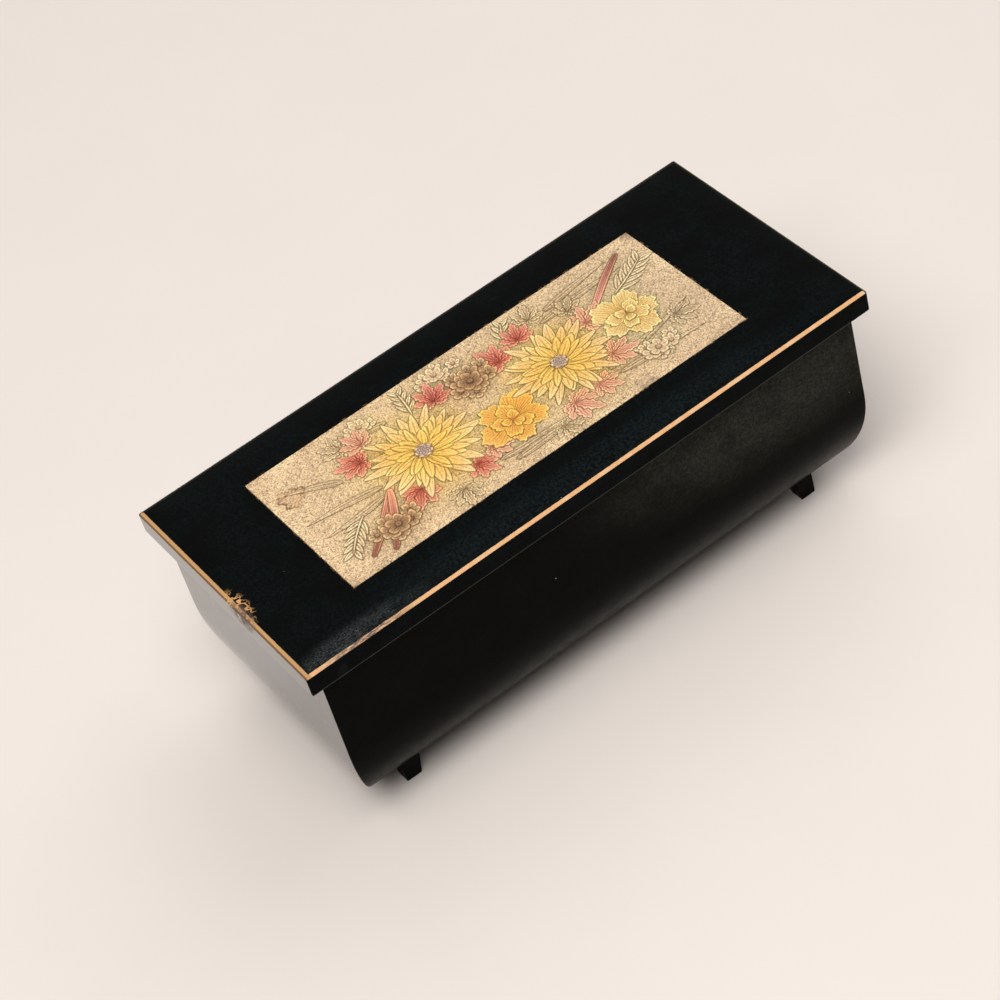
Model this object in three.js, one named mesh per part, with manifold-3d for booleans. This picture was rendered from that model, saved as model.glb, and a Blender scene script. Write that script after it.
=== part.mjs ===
// A musical jewelry box: a black lacquered tub on four feet, a hinged lid with an inlaid picture
// panel and a mirror, a lined jewel well with ring rolls, and an 18-note movement under a clear cover.
// Millimetres, +Z up, -Y is the front. The origin is on the table, under the middle of the box.

import * as THREE from 'three';
import { mergeVertices } from 'three/addons/utils/BufferGeometryUtils.js';
import Module from 'manifold-3d';

const wasm = await Module();
wasm.setup();

// Clearances
const GAP = 0.3; // between a piece and what it seats on or drops into
const RUN = 0.1; // radial play of a turning pin in its hole

// Lid
const LID_LENGTH = 230;
const LID_WIDTH = 104.3;
const LID_EDGE = 7.9; // height of the lid's upright side
const STRIPE_WIDTH = 1.6; // painted top edge, seen from above
const STRIPE_RISE = 0.5;
const BEVEL_WIDTH = 12; // from the lid's side to its flat crown
const LID_CROWN = 1.2; // from the top of the side to the flat crown
const BEVEL_BELLY = 0.75; // share of the rise that the bevel reaches halfway in

// Picture panel
const PANEL_LENGTH = 162;
const PANEL_WIDTH = 66;
const PANEL_THICKNESS = 1.5;
const PANEL_SHIFT_X = -1.6;
const PANEL_SHIFT_Y = 1;

// Mirror and the lining card that holds it in the lid
const LINING_CARD_END_MARGIN = 11.5; // from the lid's ends
const LINING_CARD_HINGE_MARGIN = 3.8; // from the hinge leaves' inner edge
const LINING_CARD_THICKNESS = 1.5;
const LINING_BORDER_ENDS = 28.5; // from the card's edge to the mirror
const LINING_BORDER_SIDES = 12;
const MIRROR_THICKNESS = 2;
const MIRROR_LAP = 5; // how far the card's window lies inside the mirror's edge

// Case
const END_OVERHANG = 5.25; // the lid past the case, at each end
const FRONT_OVERHANG = 4.05;
const BACK_OVERHANG = 1.45;
const FOOT_CLEARANCE = 7.2; // case bottom above the table
const CASE_HEIGHT = 72.6;
const ROUNDING_HEIGHT = 33.9;
const END_ROUNDING = 13.6; // how far the ends draw in at the bottom
const SIDE_ROUNDING = 20.4; // how far the front and back draw in
const WALL = 5;
const FLOOR = 5;

// Feet
const FOOT_END_INSET = 19.75; // outer face inside the case's end
const FOOT_FRONT_INSET = 12.1; // outer face behind the case's front
const FOOT_SOLE = 6;
const FOOT_HEAD = 8.5; // size where the foot meets the case

// Hinges
const HINGE_END_INSET = 39.75; // hinge's middle inside the case's end
const HINGE_LENGTH = 26;
const HINGE_STOCK = 0.7;
const HINGE_SETBACK = 0.25; // pin centre behind the case's back
const HINGE_PIN_RADIUS = 0.45;
const HINGE_LEAF_MARGIN = 1.1; // wall left inside the leaf
const HINGE_SCREW_SPREAD = 8; // screws from the hinge's middle
const HINGE_SCREW_RADIUS = 0.7;
const HINGE_SCREW_HEAD_RADIUS = 1.3;
const HINGE_SCREW_HEAD_HEIGHT = 0.55;
const HINGE_SCREW_LENGTH = 5;

// Linings and fittings of the case
const LINING = 1.2;
const LINING_DROP = 2.3; // lining's top edge below the rim
const PARTITION_THICKNESS = 3;
const PARTITION_TO_BEDPLATE = 2.5;
const PARTITION_DROP = 4;
const COVER_THICKNESS = 2;
const COVER_DROP = 13.8; // cover's top below the rim
const LEDGE_WIDTH = 3;
const LEDGE_HEIGHT = 4;
const RISER_LENGTH = 51;
const RISER_HEIGHT = 44;
const RISER_BOARD = 2;
const ROLL_COUNT = 3;
const ROLL_WIDTH = 15.4;
const ROLL_HEIGHT = 13.5;
const ROLL_END_SHRINK = 0.86;

// Movement, placed by the winding arbor's line
const MOVEMENT_END_INSET = 29.75; // winding arbor inside the case's right end
const BEDPLATE_THICKNESS = 3.5;
const BEDPLATE_LEFT = -21;
const BEDPLATE_RIGHT = 16.5;
const BEDPLATE_FRONT = -30;
const BEDPLATE_BACK = 27;
const MOVEMENT_SCREW_INSET = 4; // from the bedplate's left side
const MOVEMENT_SCREW_CORNER = 2.5; // from its right side
const MOVEMENT_SCREW_BACK_INSET = 3.5;
const MOVEMENT_SCREW_FRONT_INSET = 6;
const BEDPLATE_CORNER = 3;
const ARBOR_Y = 13;
const ARBOR_RADIUS = 1.5;
const KEY_WELL_RADIUS = 11.4;
const HOUSING_RADIUS = 11.4;
const HOUSING_HEIGHT = 5;
const HOUSING_WALL = 0.8;
const SPRING_TURNS = 5;
const SPRING_STOCK = 0.35;
const WHEEL_RADIUS = 12;
const WHEEL_THICKNESS = 0.8;
const CROWN_TEETH = 48;
const CROWN_PITCH_RADIUS = 11;
const CROWN_TOOTH_LENGTH = 1.6;
const CROWN_TOOTH_HEIGHT = 1.2;
const CROWN_TOOTH_THICKNESS = 0.4;
const PINION_TEETH = 12;
const PINION_TIP_RADIUS = 3.2;
const PINION_ROOT_RADIUS = 2.1;
const PINION_WIDTH = 2.2;
const TIP_CLEARANCE = 0.25; // gear tips above the opposite root
const CYLINDER_RADIUS = 6.5;
const CYLINDER_LENGTH = 15.8;
const CYLINDER_ARBOR_RADIUS = 0.8;
const NOTES = 18;
const NOTE_PITCH = 0.85;
const PINS_PER_NOTE = 4;
const PIN_HEIGHT = 0.8;
const PIN_SIZE = 0.3;
const PLATE = 0.8; // sheet of the bearing plates and brackets
const PLATE_HALF_WIDTH = 7.5;
const END_GEAR_TEETH = 36;
const GOVERNOR_PINION_TEETH = 9;
const SPUR_PITCH = 1; // along the pitch circle
const SPUR_ADDENDUM = 0.36;
const SPUR_DEDENDUM = 0.5;
const SPUR_TOOTH = 0.34;
const SPUR_WIDTH = 1;
const GOVERNOR_ARBOR_RADIUS = 0.5;
const WORM_WHEEL_TEETH = 16;
const WORM_PITCH = 1.2;
const WORM_RADIUS = 1.25;
const WORM_DEPTH = 0.4; // thread above and below the pitch line
const WORM_CORE_RADIUS = 0.6;
const WORM_LENGTH = 6.6;
const WORM_WHEEL_WIDTH = 0.9;
const FAN_RADIUS = 3.2;
const FAN_HEIGHT = 3.4;
const FAN_SHEET = 0.4;
const COMB_TOOTH_LENGTH = 8;
const COMB_BASE_LENGTH = 5;
const COMB_THICKNESS = 1;
const COMB_SLOT = 0.25;
const STOP_ROD_INSET = 12.45; // rod's middle behind the case's front
const STOP_ROD_RADIUS = 0.8;

// Winding key
const KEY_SPAN = 20;
const KEY_LOBE_RADIUS = 3.6;
const KEY_SHEET = 2;
const KEY_HUB_RADIUS = 3.2;
const KEY_TABLE_CLEARANCE = 1.6;

// Screws
const MOVEMENT_SCREW_RADIUS = 1.25;
const MOVEMENT_SCREW_HEAD_RADIUS = 2.8;
const MOVEMENT_SCREW_HEAD_HEIGHT = 1.8;
const COMB_SCREW_RADIUS = 1;
const COMB_SCREW_HEAD_RADIUS = 1.9;
const COMB_SCREW_HEAD_HEIGHT = 1.2;
const COMB_SCREW_LENGTH = 5;

// Levels and edges that follow from the sizes above
const CASE_BOTTOM = FOOT_CLEARANCE;
const CASE_RIM = CASE_BOTTOM + CASE_HEIGHT;
const CASE_FLOOR = CASE_BOTTOM + FLOOR;
const LID_BOTTOM = CASE_RIM + GAP;
const LID_SHOULDER = LID_BOTTOM + LID_EDGE;
const LID_TOP = LID_SHOULDER + LID_CROWN;
const CASE_FRONT = -LID_WIDTH / 2 + FRONT_OVERHANG;
const CASE_BACK = LID_WIDTH / 2 - BACK_OVERHANG;
const CASE_MIDDLE_Y = (CASE_FRONT + CASE_BACK) / 2;
const CASE_HALF_LENGTH = LID_LENGTH / 2 - END_OVERHANG;
const CASE_HALF_WIDTH = (CASE_BACK - CASE_FRONT) / 2;
const HINGE_Y = CASE_BACK + HINGE_SETBACK;
const HINGE_Z = CASE_RIM + GAP / 2;
const BARREL_RADIUS = BACK_OVERHANG - HINGE_SETBACK;
const HINGE_X = CASE_HALF_LENGTH - HINGE_END_INSET;
const MOVEMENT_X = CASE_HALF_LENGTH - MOVEMENT_END_INSET;
const PARTITION_X = MOVEMENT_X + BEDPLATE_LEFT - PARTITION_TO_BEDPLATE - PARTITION_THICKNESS; // its well side

// Materials
const lacquer = new THREE.MeshStandardMaterial({ color: 0x0d100f, roughness: 0.22, flatShading: true });
const satinLacquer = new THREE.MeshStandardMaterial({ color: 0x1b1d1b, roughness: 0.42, flatShading: true });
const goldFoil = new THREE.MeshStandardMaterial({ color: 0xcdbb92, roughness: 0.5, metalness: 0.35, flatShading: true });
const velvet = new THREE.MeshStandardMaterial({ color: 0x7c1420, roughness: 0.95, flatShading: true });
const brass = new THREE.MeshStandardMaterial({ color: 0xc9a24a, roughness: 0.32, metalness: 1, flatShading: true });
const steel = new THREE.MeshStandardMaterial({ color: 0xb9bcc0, roughness: 0.3, metalness: 1, flatShading: true });
const castZinc = new THREE.MeshStandardMaterial({ color: 0xa7a9aa, roughness: 0.5, metalness: 0.9, flatShading: true });
const mirrorGlass = new THREE.MeshStandardMaterial({ color: 0xe6eaec, roughness: 0.03, metalness: 1, flatShading: true });
const clearPlastic = new THREE.MeshStandardMaterial({
  color: 0xf2f6f6, roughness: 0.08, transparent: true, opacity: 0.3, flatShading: true,
});

// Shape helpers

function solidOf(geometry) {
  const bare = geometry.clone();
  bare.deleteAttribute('normal');
  bare.deleteAttribute('uv');
  const merged = mergeVertices(bare);
  const corners = merged.index.array;
  const triangles = [];
  for (let i = 0; i < corners.length; i += 3) {
    const [a, b, c] = [corners[i], corners[i + 1], corners[i + 2]];
    if (a !== b && b !== c && c !== a) triangles.push(a, b, c);
  }
  const vertProperties = new Float32Array(merged.attributes.position.array);
  return new wasm.Manifold(new wasm.Mesh({ numProp: 3, vertProperties, triVerts: new Uint32Array(triangles) }));
}

function geometryOf(solid) {
  const { vertProperties, triVerts } = solid.getMesh();
  const geometry = new THREE.BufferGeometry();
  geometry.setAttribute('position', new THREE.BufferAttribute(new Float32Array(vertProperties), 3));
  geometry.setIndex(new THREE.BufferAttribute(new Uint32Array(triVerts), 1));
  geometry.computeVertexNormals();
  return geometry;
}

function part(name, solid, material) {
  const mesh = new THREE.Mesh(geometryOf(solid), material);
  mesh.name = name;
  return mesh;
}

function join(solids) {
  return solids.reduce((whole, solid) => whole.add(solid));
}

function cut(solid, tools) {
  return tools.reduce((rest, tool) => rest.subtract(tool), solid);
}

function block([x0, x1], [y0, y1], [z0, z1]) {
  const geometry = new THREE.BoxGeometry(x1 - x0, y1 - y0, z1 - z0);
  return solidOf(geometry.translate((x0 + x1) / 2, (y0 + y1) / 2, (z0 + z1) / 2));
}

// A round bar along an axis: centre holds the two other coordinates, in x, y, z order.
function bar(axis, radius, from, to, centre, sides = 20) {
  const geometry = new THREE.CylinderGeometry(radius, radius, to - from, sides);
  const middle = (from + to) / 2;
  const [a, b] = centre;
  if (axis === 'x') geometry.rotateZ(Math.PI / 2).translate(middle, a, b);
  if (axis === 'y') geometry.translate(a, middle, b);
  if (axis === 'z') geometry.rotateX(Math.PI / 2).translate(a, b, middle);
  return solidOf(geometry);
}

// An outline drawn in the two other coordinates, in x, y, z order, and drawn out along an axis.
function prism(axis, shape, from, to, curveSegments = 10) {
  const geometry = new THREE.ExtrudeGeometry(shape, { depth: to - from, bevelEnabled: false, curveSegments });
  const turn = new THREE.Matrix4();
  if (axis === 'x') {
    turn.makeBasis(new THREE.Vector3(0, 1, 0), new THREE.Vector3(0, 0, 1), new THREE.Vector3(1, 0, 0));
    turn.setPosition(from, 0, 0);
  }
  if (axis === 'y') {
    turn.makeBasis(new THREE.Vector3(1, 0, 0), new THREE.Vector3(0, 0, 1), new THREE.Vector3(0, -1, 0));
    turn.setPosition(0, to, 0);
  }
  if (axis === 'z') turn.setPosition(0, 0, from);
  return solidOf(geometry.applyMatrix4(turn));
}

function outline(points) {
  return new THREE.Shape(points.map(([a, b]) => new THREE.Vector2(a, b)));
}

// A turned piece on the Z axis, from a profile of [radius, height] points that starts and ends on the axis.
function turned(profile, sides = 20) {
  const points = profile.map(([radius, height]) => new THREE.Vector2(radius, height));
  return solidOf(new THREE.LatheGeometry(points, sides).rotateX(Math.PI / 2));
}

// Oblong rings stacked upwards, each { x, y, z } with half sizes x and y, closed at both ends.
function oblongStack(levels) {
  const positions = [];
  const triangles = [];
  for (const { x, y, z } of levels) positions.push(-x, -y, z, x, -y, z, x, y, z, -x, y, z);
  const quad = (a, b, c, d) => triangles.push(a, b, c, a, c, d);
  for (let level = 0; level < levels.length - 1; level += 1) {
    for (let side = 0; side < 4; side += 1) {
      const low = level * 4;
      const next = (side + 1) % 4;
      quad(low + side, low + next, low + 4 + next, low + 4 + side);
    }
  }
  quad(3, 2, 1, 0);
  const top = (levels.length - 1) * 4;
  quad(top, top + 1, top + 2, top + 3);
  const geometry = new THREE.BufferGeometry();
  geometry.setAttribute('position', new THREE.BufferAttribute(new Float32Array(positions), 3));
  geometry.setIndex(triangles);
  return solidOf(geometry);
}

// Case

// One profile of the tub: upright sides down to the rounding, then a quarter ellipse to the flat bottom.
function tubProfile(halfSize, middle, top, bottom, rounding, roundingHeight) {
  const shape = new THREE.Shape();
  const turn = bottom + roundingHeight;
  shape.moveTo(middle - halfSize, top);
  shape.lineTo(middle - halfSize, turn);
  shape.absellipse(middle - halfSize + rounding, turn, rounding, roundingHeight, Math.PI, 1.5 * Math.PI);
  shape.lineTo(middle + halfSize - rounding, bottom);
  shape.absellipse(middle + halfSize - rounding, turn, rounding, roundingHeight, 1.5 * Math.PI, 2 * Math.PI);
  shape.lineTo(middle + halfSize, top);
  return shape;
}

// The tub's outer form drawn in by inset at the sides and by rise at the bottom, up to a level.
function tubForm(inset, rise, top) {
  const bottom = CASE_BOTTOM + rise;
  const height = ROUNDING_HEIGHT - rise;
  const halfLength = CASE_HALF_LENGTH - inset;
  const halfWidth = CASE_HALF_WIDTH - inset;
  const side = tubProfile(halfWidth, CASE_MIDDLE_Y, top, bottom, SIDE_ROUNDING - inset, height);
  const end = tubProfile(halfLength, 0, top, bottom, END_ROUNDING - inset, height);
  const long = prism('x', side, -halfLength, halfLength);
  return long.intersect(prism('y', end, CASE_MIDDLE_Y - halfWidth, CASE_MIDDLE_Y + halfWidth));
}

const ABOVE = 10; // how far a cutting tool runs past what it cuts

// Movement screws, from the winding arbor's line and the case's middle
const MOVEMENT_SCREWS = [
  { x: BEDPLATE_LEFT + MOVEMENT_SCREW_INSET, y: BEDPLATE_BACK - MOVEMENT_SCREW_BACK_INSET },
  { x: BEDPLATE_RIGHT - MOVEMENT_SCREW_CORNER, y: BEDPLATE_BACK - MOVEMENT_SCREW_BACK_INSET },
  { x: BEDPLATE_LEFT + MOVEMENT_SCREW_INSET, y: BEDPLATE_FRONT + MOVEMENT_SCREW_FRONT_INSET },
];

const keyWell = () =>
  bar('z', KEY_WELL_RADIUS, CASE_BOTTOM - ABOVE, CASE_FLOOR + ABOVE, [MOVEMENT_X, CASE_MIDDLE_Y + ARBOR_Y], 32);

function movementScrewHole({ x, y }) {
  const centre = [MOVEMENT_X + x, CASE_MIDDLE_Y + y];
  const sink = CASE_BOTTOM + MOVEMENT_SCREW_HEAD_HEIGHT + GAP;
  return join([
    bar('z', MOVEMENT_SCREW_RADIUS + GAP, CASE_BOTTOM - ABOVE, CASE_FLOOR + ABOVE, centre, 16),
    bar('z', MOVEMENT_SCREW_HEAD_RADIUS + GAP, CASE_BOTTOM - ABOVE, sink, centre, 20),
  ]);
}

function caseShell() {
  const walls = tubForm(0, 0, CASE_RIM).subtract(tubForm(WALL, FLOOR, CASE_RIM + ABOVE));
  const seats = [-1, 1].flatMap((side) => [leafSeat(side, -1), barrelSeat(side), ...screwHoles(side, -1)]);
  return cut(walls, [keyWell(), ...MOVEMENT_SCREWS.map(movementScrewHole), ...seats]);
}

// A foot with upright outer faces and sloping inner ones, cut to the case's underside.
function foot(sideX, sideY) {
  const outerX = CASE_HALF_LENGTH - FOOT_END_INSET;
  const outerY = CASE_HALF_WIDTH - FOOT_FRONT_INSET;
  const corner = (size, z) => [
    [outerX - size, outerY - size, z],
    [outerX, outerY - size, z],
    [outerX, outerY, z],
    [outerX - size, outerY, z],
  ];
  const head = CASE_BOTTOM + ROUNDING_HEIGHT / 4;
  const points = [...corner(FOOT_SOLE, 0), ...corner(FOOT_HEAD, head)];
  const positions = points.flatMap(([x, y, z]) => [x, y, z]);
  const geometry = new THREE.BufferGeometry();
  geometry.setAttribute('position', new THREE.BufferAttribute(new Float32Array(positions), 3));
  const faces = [[3, 2, 1, 0], [4, 5, 6, 7], [0, 1, 5, 4], [1, 2, 6, 5], [2, 3, 7, 6], [3, 0, 4, 7]];
  geometry.setIndex(faces.flatMap(([a, b, c, d]) => [a, b, c, a, c, d]));
  const placed = solidOf(geometry).scale([sideX, sideY, 1]).translate([0, CASE_MIDDLE_Y, 0]);
  return placed.subtract(tubForm(-GAP, -GAP, CASE_RIM));
}

// Hinges: side is -1 for the left hinge and 1 for the right, level is -1 for the case and 1 for the lid.

const LEAF_INNER_Y = CASE_BACK - WALL + HINGE_LEAF_MARGIN;
const LEAF_SCREW_Y = LEAF_INNER_Y + HINGE_SCREW_HEAD_RADIUS + GAP;
const leafFace = (level) => (level < 0 ? CASE_RIM : LID_BOTTOM);
const upwards = (low, high) => (low < high ? [low, high] : [high, low]);

function leafSeat(side, level) {
  const half = HINGE_LENGTH / 2 + GAP;
  const depth = upwards(leafFace(level) - level * ABOVE, leafFace(level) + level * (HINGE_STOCK + GAP));
  return block([side * HINGE_X - half, side * HINGE_X + half], [LEAF_INNER_Y - GAP, CASE_BACK + ABOVE], depth);
}

function barrelSeat(side) {
  const half = HINGE_LENGTH / 2 + GAP;
  const reach = BARREL_RADIUS + GAP;
  const back = HINGE_Y + reach + ABOVE;
  return block([side * HINGE_X - half, side * HINGE_X + half], [HINGE_Y - reach, back], [HINGE_Z - reach, HINGE_Z + reach]);
}

function screwHoles(side, level) {
  const depth = upwards(leafFace(level) - level * GAP, leafFace(level) + level * (HINGE_SCREW_LENGTH + GAP));
  return [-1, 1].map((end) => {
    const x = side * HINGE_X + end * HINGE_SCREW_SPREAD;
    return bar('z', HINGE_SCREW_RADIUS + GAP, ...depth, [x, LEAF_SCREW_Y], 12);
  });
}

// The case leaf carries the two outer knuckles of three, and the lid leaf the middle one.
function hingeLeaf(side, level) {
  const x = side * HINGE_X;
  const half = HINGE_LENGTH / 2;
  const third = HINGE_LENGTH / 6;
  const plate = block([x - half, x + half], [LEAF_INNER_Y, HINGE_Y], upwards(leafFace(level), leafFace(level) + level * HINGE_STOCK));
  const knuckles = [[-half, -third - GAP / 2], [-third + GAP / 2, third - GAP / 2], [third + GAP / 2, half]];
  const [own, other] = level < 0 ? [[knuckles[0], knuckles[2]], [knuckles[1]]] : [[knuckles[1]], [knuckles[0], knuckles[2]]];
  const knuckle = ([from, to], radius, reach) => bar('x', radius, x + from - reach, x + to + reach, [HINGE_Y, HINGE_Z], 20);
  const clearOf = ([from, to]) => {
    const reach = BARREL_RADIUS + GAP;
    return block([x + from - GAP, x + to + GAP], [HINGE_Y - reach, HINGE_Y + reach], [HINGE_Z - reach, HINGE_Z + reach]);
  };
  const bore = bar('x', HINGE_PIN_RADIUS + RUN, x - half - GAP, x + half + GAP, [HINGE_Y, HINGE_Z], 16);
  const sinks = [-1, 1].map((end) => {
    const sink = countersunk(HINGE_SCREW_RADIUS + RUN, HINGE_SCREW_HEAD_RADIUS + RUN, HINGE_SCREW_HEAD_HEIGHT, HINGE_STOCK + GAP, GAP);
    return facing(sink, level).translate([x + end * HINGE_SCREW_SPREAD, LEAF_SCREW_Y, leafFace(level)]);
  });
  const leaf = join([cut(plate, other.map(clearOf)), ...own.map((span) => knuckle(span, BARREL_RADIUS, 0))]);
  return cut(leaf, [bore, ...sinks]);
}

// A countersunk form whose flat head is at z 0 and whose shank goes down. A tool's cone runs on past its face.
function countersunk(radius, headRadius, headHeight, length, above = 0) {
  const mouth = headRadius + ((headRadius - radius) * above) / headHeight;
  return turned([[0, -length], [radius, -length], [radius, -headHeight], [mouth, above], [0, above]], 16);
}

// The same form for the lid, where the shank goes up.
function facing(solid, level) {
  return level < 0 ? solid : solid.rotate([180, 0, 0]);
}

function hingeScrew(side, level, end) {
  const slot = block([-HINGE_SCREW_HEAD_RADIUS, HINGE_SCREW_HEAD_RADIUS], [-0.2, 0.2], [-0.3, GAP]);
  const form = countersunk(HINGE_SCREW_RADIUS, HINGE_SCREW_HEAD_RADIUS, HINGE_SCREW_HEAD_HEIGHT, HINGE_SCREW_LENGTH);
  return facing(form.subtract(slot), level).translate([side * HINGE_X + end * HINGE_SCREW_SPREAD, LEAF_SCREW_Y, leafFace(level)]);
}

function hingePin(side) {
  const half = HINGE_LENGTH / 2;
  return bar('x', HINGE_PIN_RADIUS, side * HINGE_X - half, side * HINGE_X + half, [HINGE_Y, HINGE_Z], 12);
}

// Lid

function lidLevels() {
  const level = (inset, z) => ({ x: LID_LENGTH / 2 - inset, y: LID_WIDTH / 2 - inset, z });
  const belly = STRIPE_RISE + (LID_CROWN - STRIPE_RISE) * BEVEL_BELLY;
  return [
    level(0, LID_BOTTOM),
    level(0, LID_SHOULDER),
    level(STRIPE_WIDTH, LID_SHOULDER + STRIPE_RISE),
    level((STRIPE_WIDTH + BEVEL_WIDTH) / 2, LID_SHOULDER + belly),
    level(BEVEL_WIDTH, LID_TOP),
  ];
}

function panelBlock(grow, low, high) {
  const x = PANEL_LENGTH / 2 + grow;
  const y = PANEL_WIDTH / 2 + grow;
  return block([PANEL_SHIFT_X - x, PANEL_SHIFT_X + x], [PANEL_SHIFT_Y - y, PANEL_SHIFT_Y + y], [low, high]);
}

function centredBlock(length, width, low, high) {
  return block([-length / 2, length / 2], [-width / 2, width / 2], [low, high]);
}

const CARD_TOP = LID_BOTTOM + LINING_CARD_THICKNESS;
const CARD_LENGTH = LID_LENGTH - 2 * LINING_CARD_END_MARGIN;
const CARD_WIDTH = 2 * (LEAF_INNER_Y - LINING_CARD_HINGE_MARGIN);
const MIRROR_LENGTH = CARD_LENGTH - 2 * LINING_BORDER_ENDS;
const MIRROR_WIDTH = CARD_WIDTH - 2 * LINING_BORDER_SIDES;
const MIRROR_BOTTOM = CARD_TOP + GAP;
const MIRROR_TOP = MIRROR_BOTTOM + MIRROR_THICKNESS;

function lidBoard() {
  const seats = [-1, 1].flatMap((side) => [leafSeat(side, 1), barrelSeat(side), ...screwHoles(side, 1)]);
  return cut(oblongStack(lidLevels()), [
    panelBlock(GAP / 2, LID_TOP - PANEL_THICKNESS - GAP, LID_TOP + ABOVE),
    centredBlock(CARD_LENGTH + 2 * GAP, CARD_WIDTH + 2 * GAP, LID_BOTTOM - ABOVE, MIRROR_TOP + GAP),
    ...seats,
  ]);
}

const picturePanel = () => panelBlock(0, LID_TOP - PANEL_THICKNESS, LID_TOP);

const mirror = () => centredBlock(MIRROR_LENGTH, MIRROR_WIDTH, MIRROR_BOTTOM, MIRROR_TOP);

// The lining card: a cloth-covered frame with a raised border that holds the mirror in place.
function liningCard() {
  const window = centredBlock(
    MIRROR_LENGTH - 2 * MIRROR_LAP, MIRROR_WIDTH - 2 * MIRROR_LAP, LID_BOTTOM - ABOVE, MIRROR_TOP + ABOVE,
  );
  const bed = centredBlock(MIRROR_LENGTH + 2 * GAP, MIRROR_WIDTH + 2 * GAP, CARD_TOP, MIRROR_TOP + ABOVE);
  return cut(centredBlock(CARD_LENGTH, CARD_WIDTH, LID_BOTTOM, MIRROR_TOP), [window, bed]);
}

// Linings and fittings

const LINING_TOP = CASE_RIM - LINING_DROP;
const INSIDE = WALL + GAP; // outer face of what lines the case
const LINED = INSIDE + LINING + GAP; // outer face of what stands in the lined well
const WELL_FLOOR = CASE_FLOOR + GAP + LINING;
const LINED_LEFT = -CASE_HALF_LENGTH + LINED;
const RISER_TOP = WELL_FLOOR + GAP + RISER_HEIGHT;

function wellLining() {
  const right = PARTITION_X - GAP;
  const keep = block([-LID_LENGTH, right], [-LID_WIDTH, LID_WIDTH], [0, LINING_TOP]);
  const hollow = block([-LID_LENGTH, right - LINING], [-LID_WIDTH, LID_WIDTH], [0, LID_TOP]);
  const outside = tubForm(INSIDE, FLOOR + GAP, LINING_TOP).intersect(keep);
  return outside.subtract(tubForm(INSIDE + LINING, FLOOR + GAP + LINING, LID_TOP).intersect(hollow));
}

function partition() {
  const span = block([PARTITION_X, PARTITION_X + PARTITION_THICKNESS], [-LID_WIDTH, LID_WIDTH], [0, CASE_RIM - PARTITION_DROP]);
  return tubForm(INSIDE, FLOOR + GAP, CASE_RIM).intersect(span);
}

// A riser for the ring rolls: a top board and two end boards that stand in the lined well.
function ringRiser() {
  const right = LINED_LEFT + RISER_LENGTH;
  const whole = tubForm(LINED, FLOOR + LINING + 2 * GAP, RISER_TOP).intersect(
    block([-LID_LENGTH, right], [-LID_WIDTH, LID_WIDTH], [0, RISER_TOP]),
  );
  const below = block([LINED_LEFT + RISER_BOARD, right - RISER_BOARD], [-LID_WIDTH, LID_WIDTH], [0, RISER_TOP - RISER_BOARD]);
  return whole.subtract(below);
}

// A padded roll across the well: a flattened round section that draws in a little at both ends.
function ringRoll(index) {
  const pitch = RISER_LENGTH / ROLL_COUNT;
  const x = LINED_LEFT + pitch * (index + 0.5);
  const front = CASE_FRONT + LINED;
  const back = CASE_BACK - LINED;
  const steps = 16;
  const stations = [[0, 0.55], [0.02, ROLL_END_SHRINK], [0.08, 1], [0.92, 1], [0.98, ROLL_END_SHRINK], [1, 0.55]];
  const positions = [];
  for (const [share, size] of stations) {
    for (let i = 0; i < steps; i += 1) {
      const angle = (2 * Math.PI * i) / steps;
      const lift = Math.max(Math.sin(angle), -0.82) + 0.82;
      positions.push(x + (size * ROLL_WIDTH * Math.cos(angle)) / 2, front + share * (back - front));
      positions.push(RISER_TOP + GAP + (size * ROLL_HEIGHT * lift) / 1.82);
    }
  }
  const triangles = [];
  for (let ring = 0; ring < stations.length - 1; ring += 1) {
    for (let i = 0; i < steps; i += 1) {
      const a = ring * steps + i;
      const b = ring * steps + ((i + 1) % steps);
      triangles.push(a, b + steps, b, a, a + steps, b + steps);
    }
  }
  const last = (stations.length - 1) * steps;
  for (let i = 1; i < steps - 1; i += 1) {
    triangles.push(0, i, i + 1, last, last + i + 1, last + i);
  }
  const geometry = new THREE.BufferGeometry();
  geometry.setAttribute('position', new THREE.BufferAttribute(new Float32Array(positions), 3));
  geometry.setIndex(triangles);
  return solidOf(geometry);
}

const COVER_TOP = CASE_RIM - COVER_DROP;
const COVER_LEFT = PARTITION_X + PARTITION_THICKNESS + GAP;
const COVER_RIGHT = CASE_HALF_LENGTH - INSIDE;

function movementCover() {
  const plate = block([COVER_LEFT, COVER_RIGHT], [CASE_FRONT + INSIDE, CASE_BACK - INSIDE], [COVER_TOP - COVER_THICKNESS, COVER_TOP]);
  return plate.subtract(bar('z', 2 * STOP_ROD_RADIUS, COVER_TOP - ABOVE, COVER_TOP + ABOVE, STOP_ROD_PLACE, 16));
}

function coverLedge(side) {
  const wall = side < 0 ? CASE_FRONT + INSIDE : CASE_BACK - INSIDE;
  const top = COVER_TOP - COVER_THICKNESS - GAP;
  return block([COVER_LEFT, COVER_RIGHT], upwards(wall, wall - side * LEDGE_WIDTH), [top - LEDGE_HEIGHT, top]);
}

// Movement: everything below is drawn from the winding arbor's line in X, the case's middle in Y
// and the bedplate's underside in Z.

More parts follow.
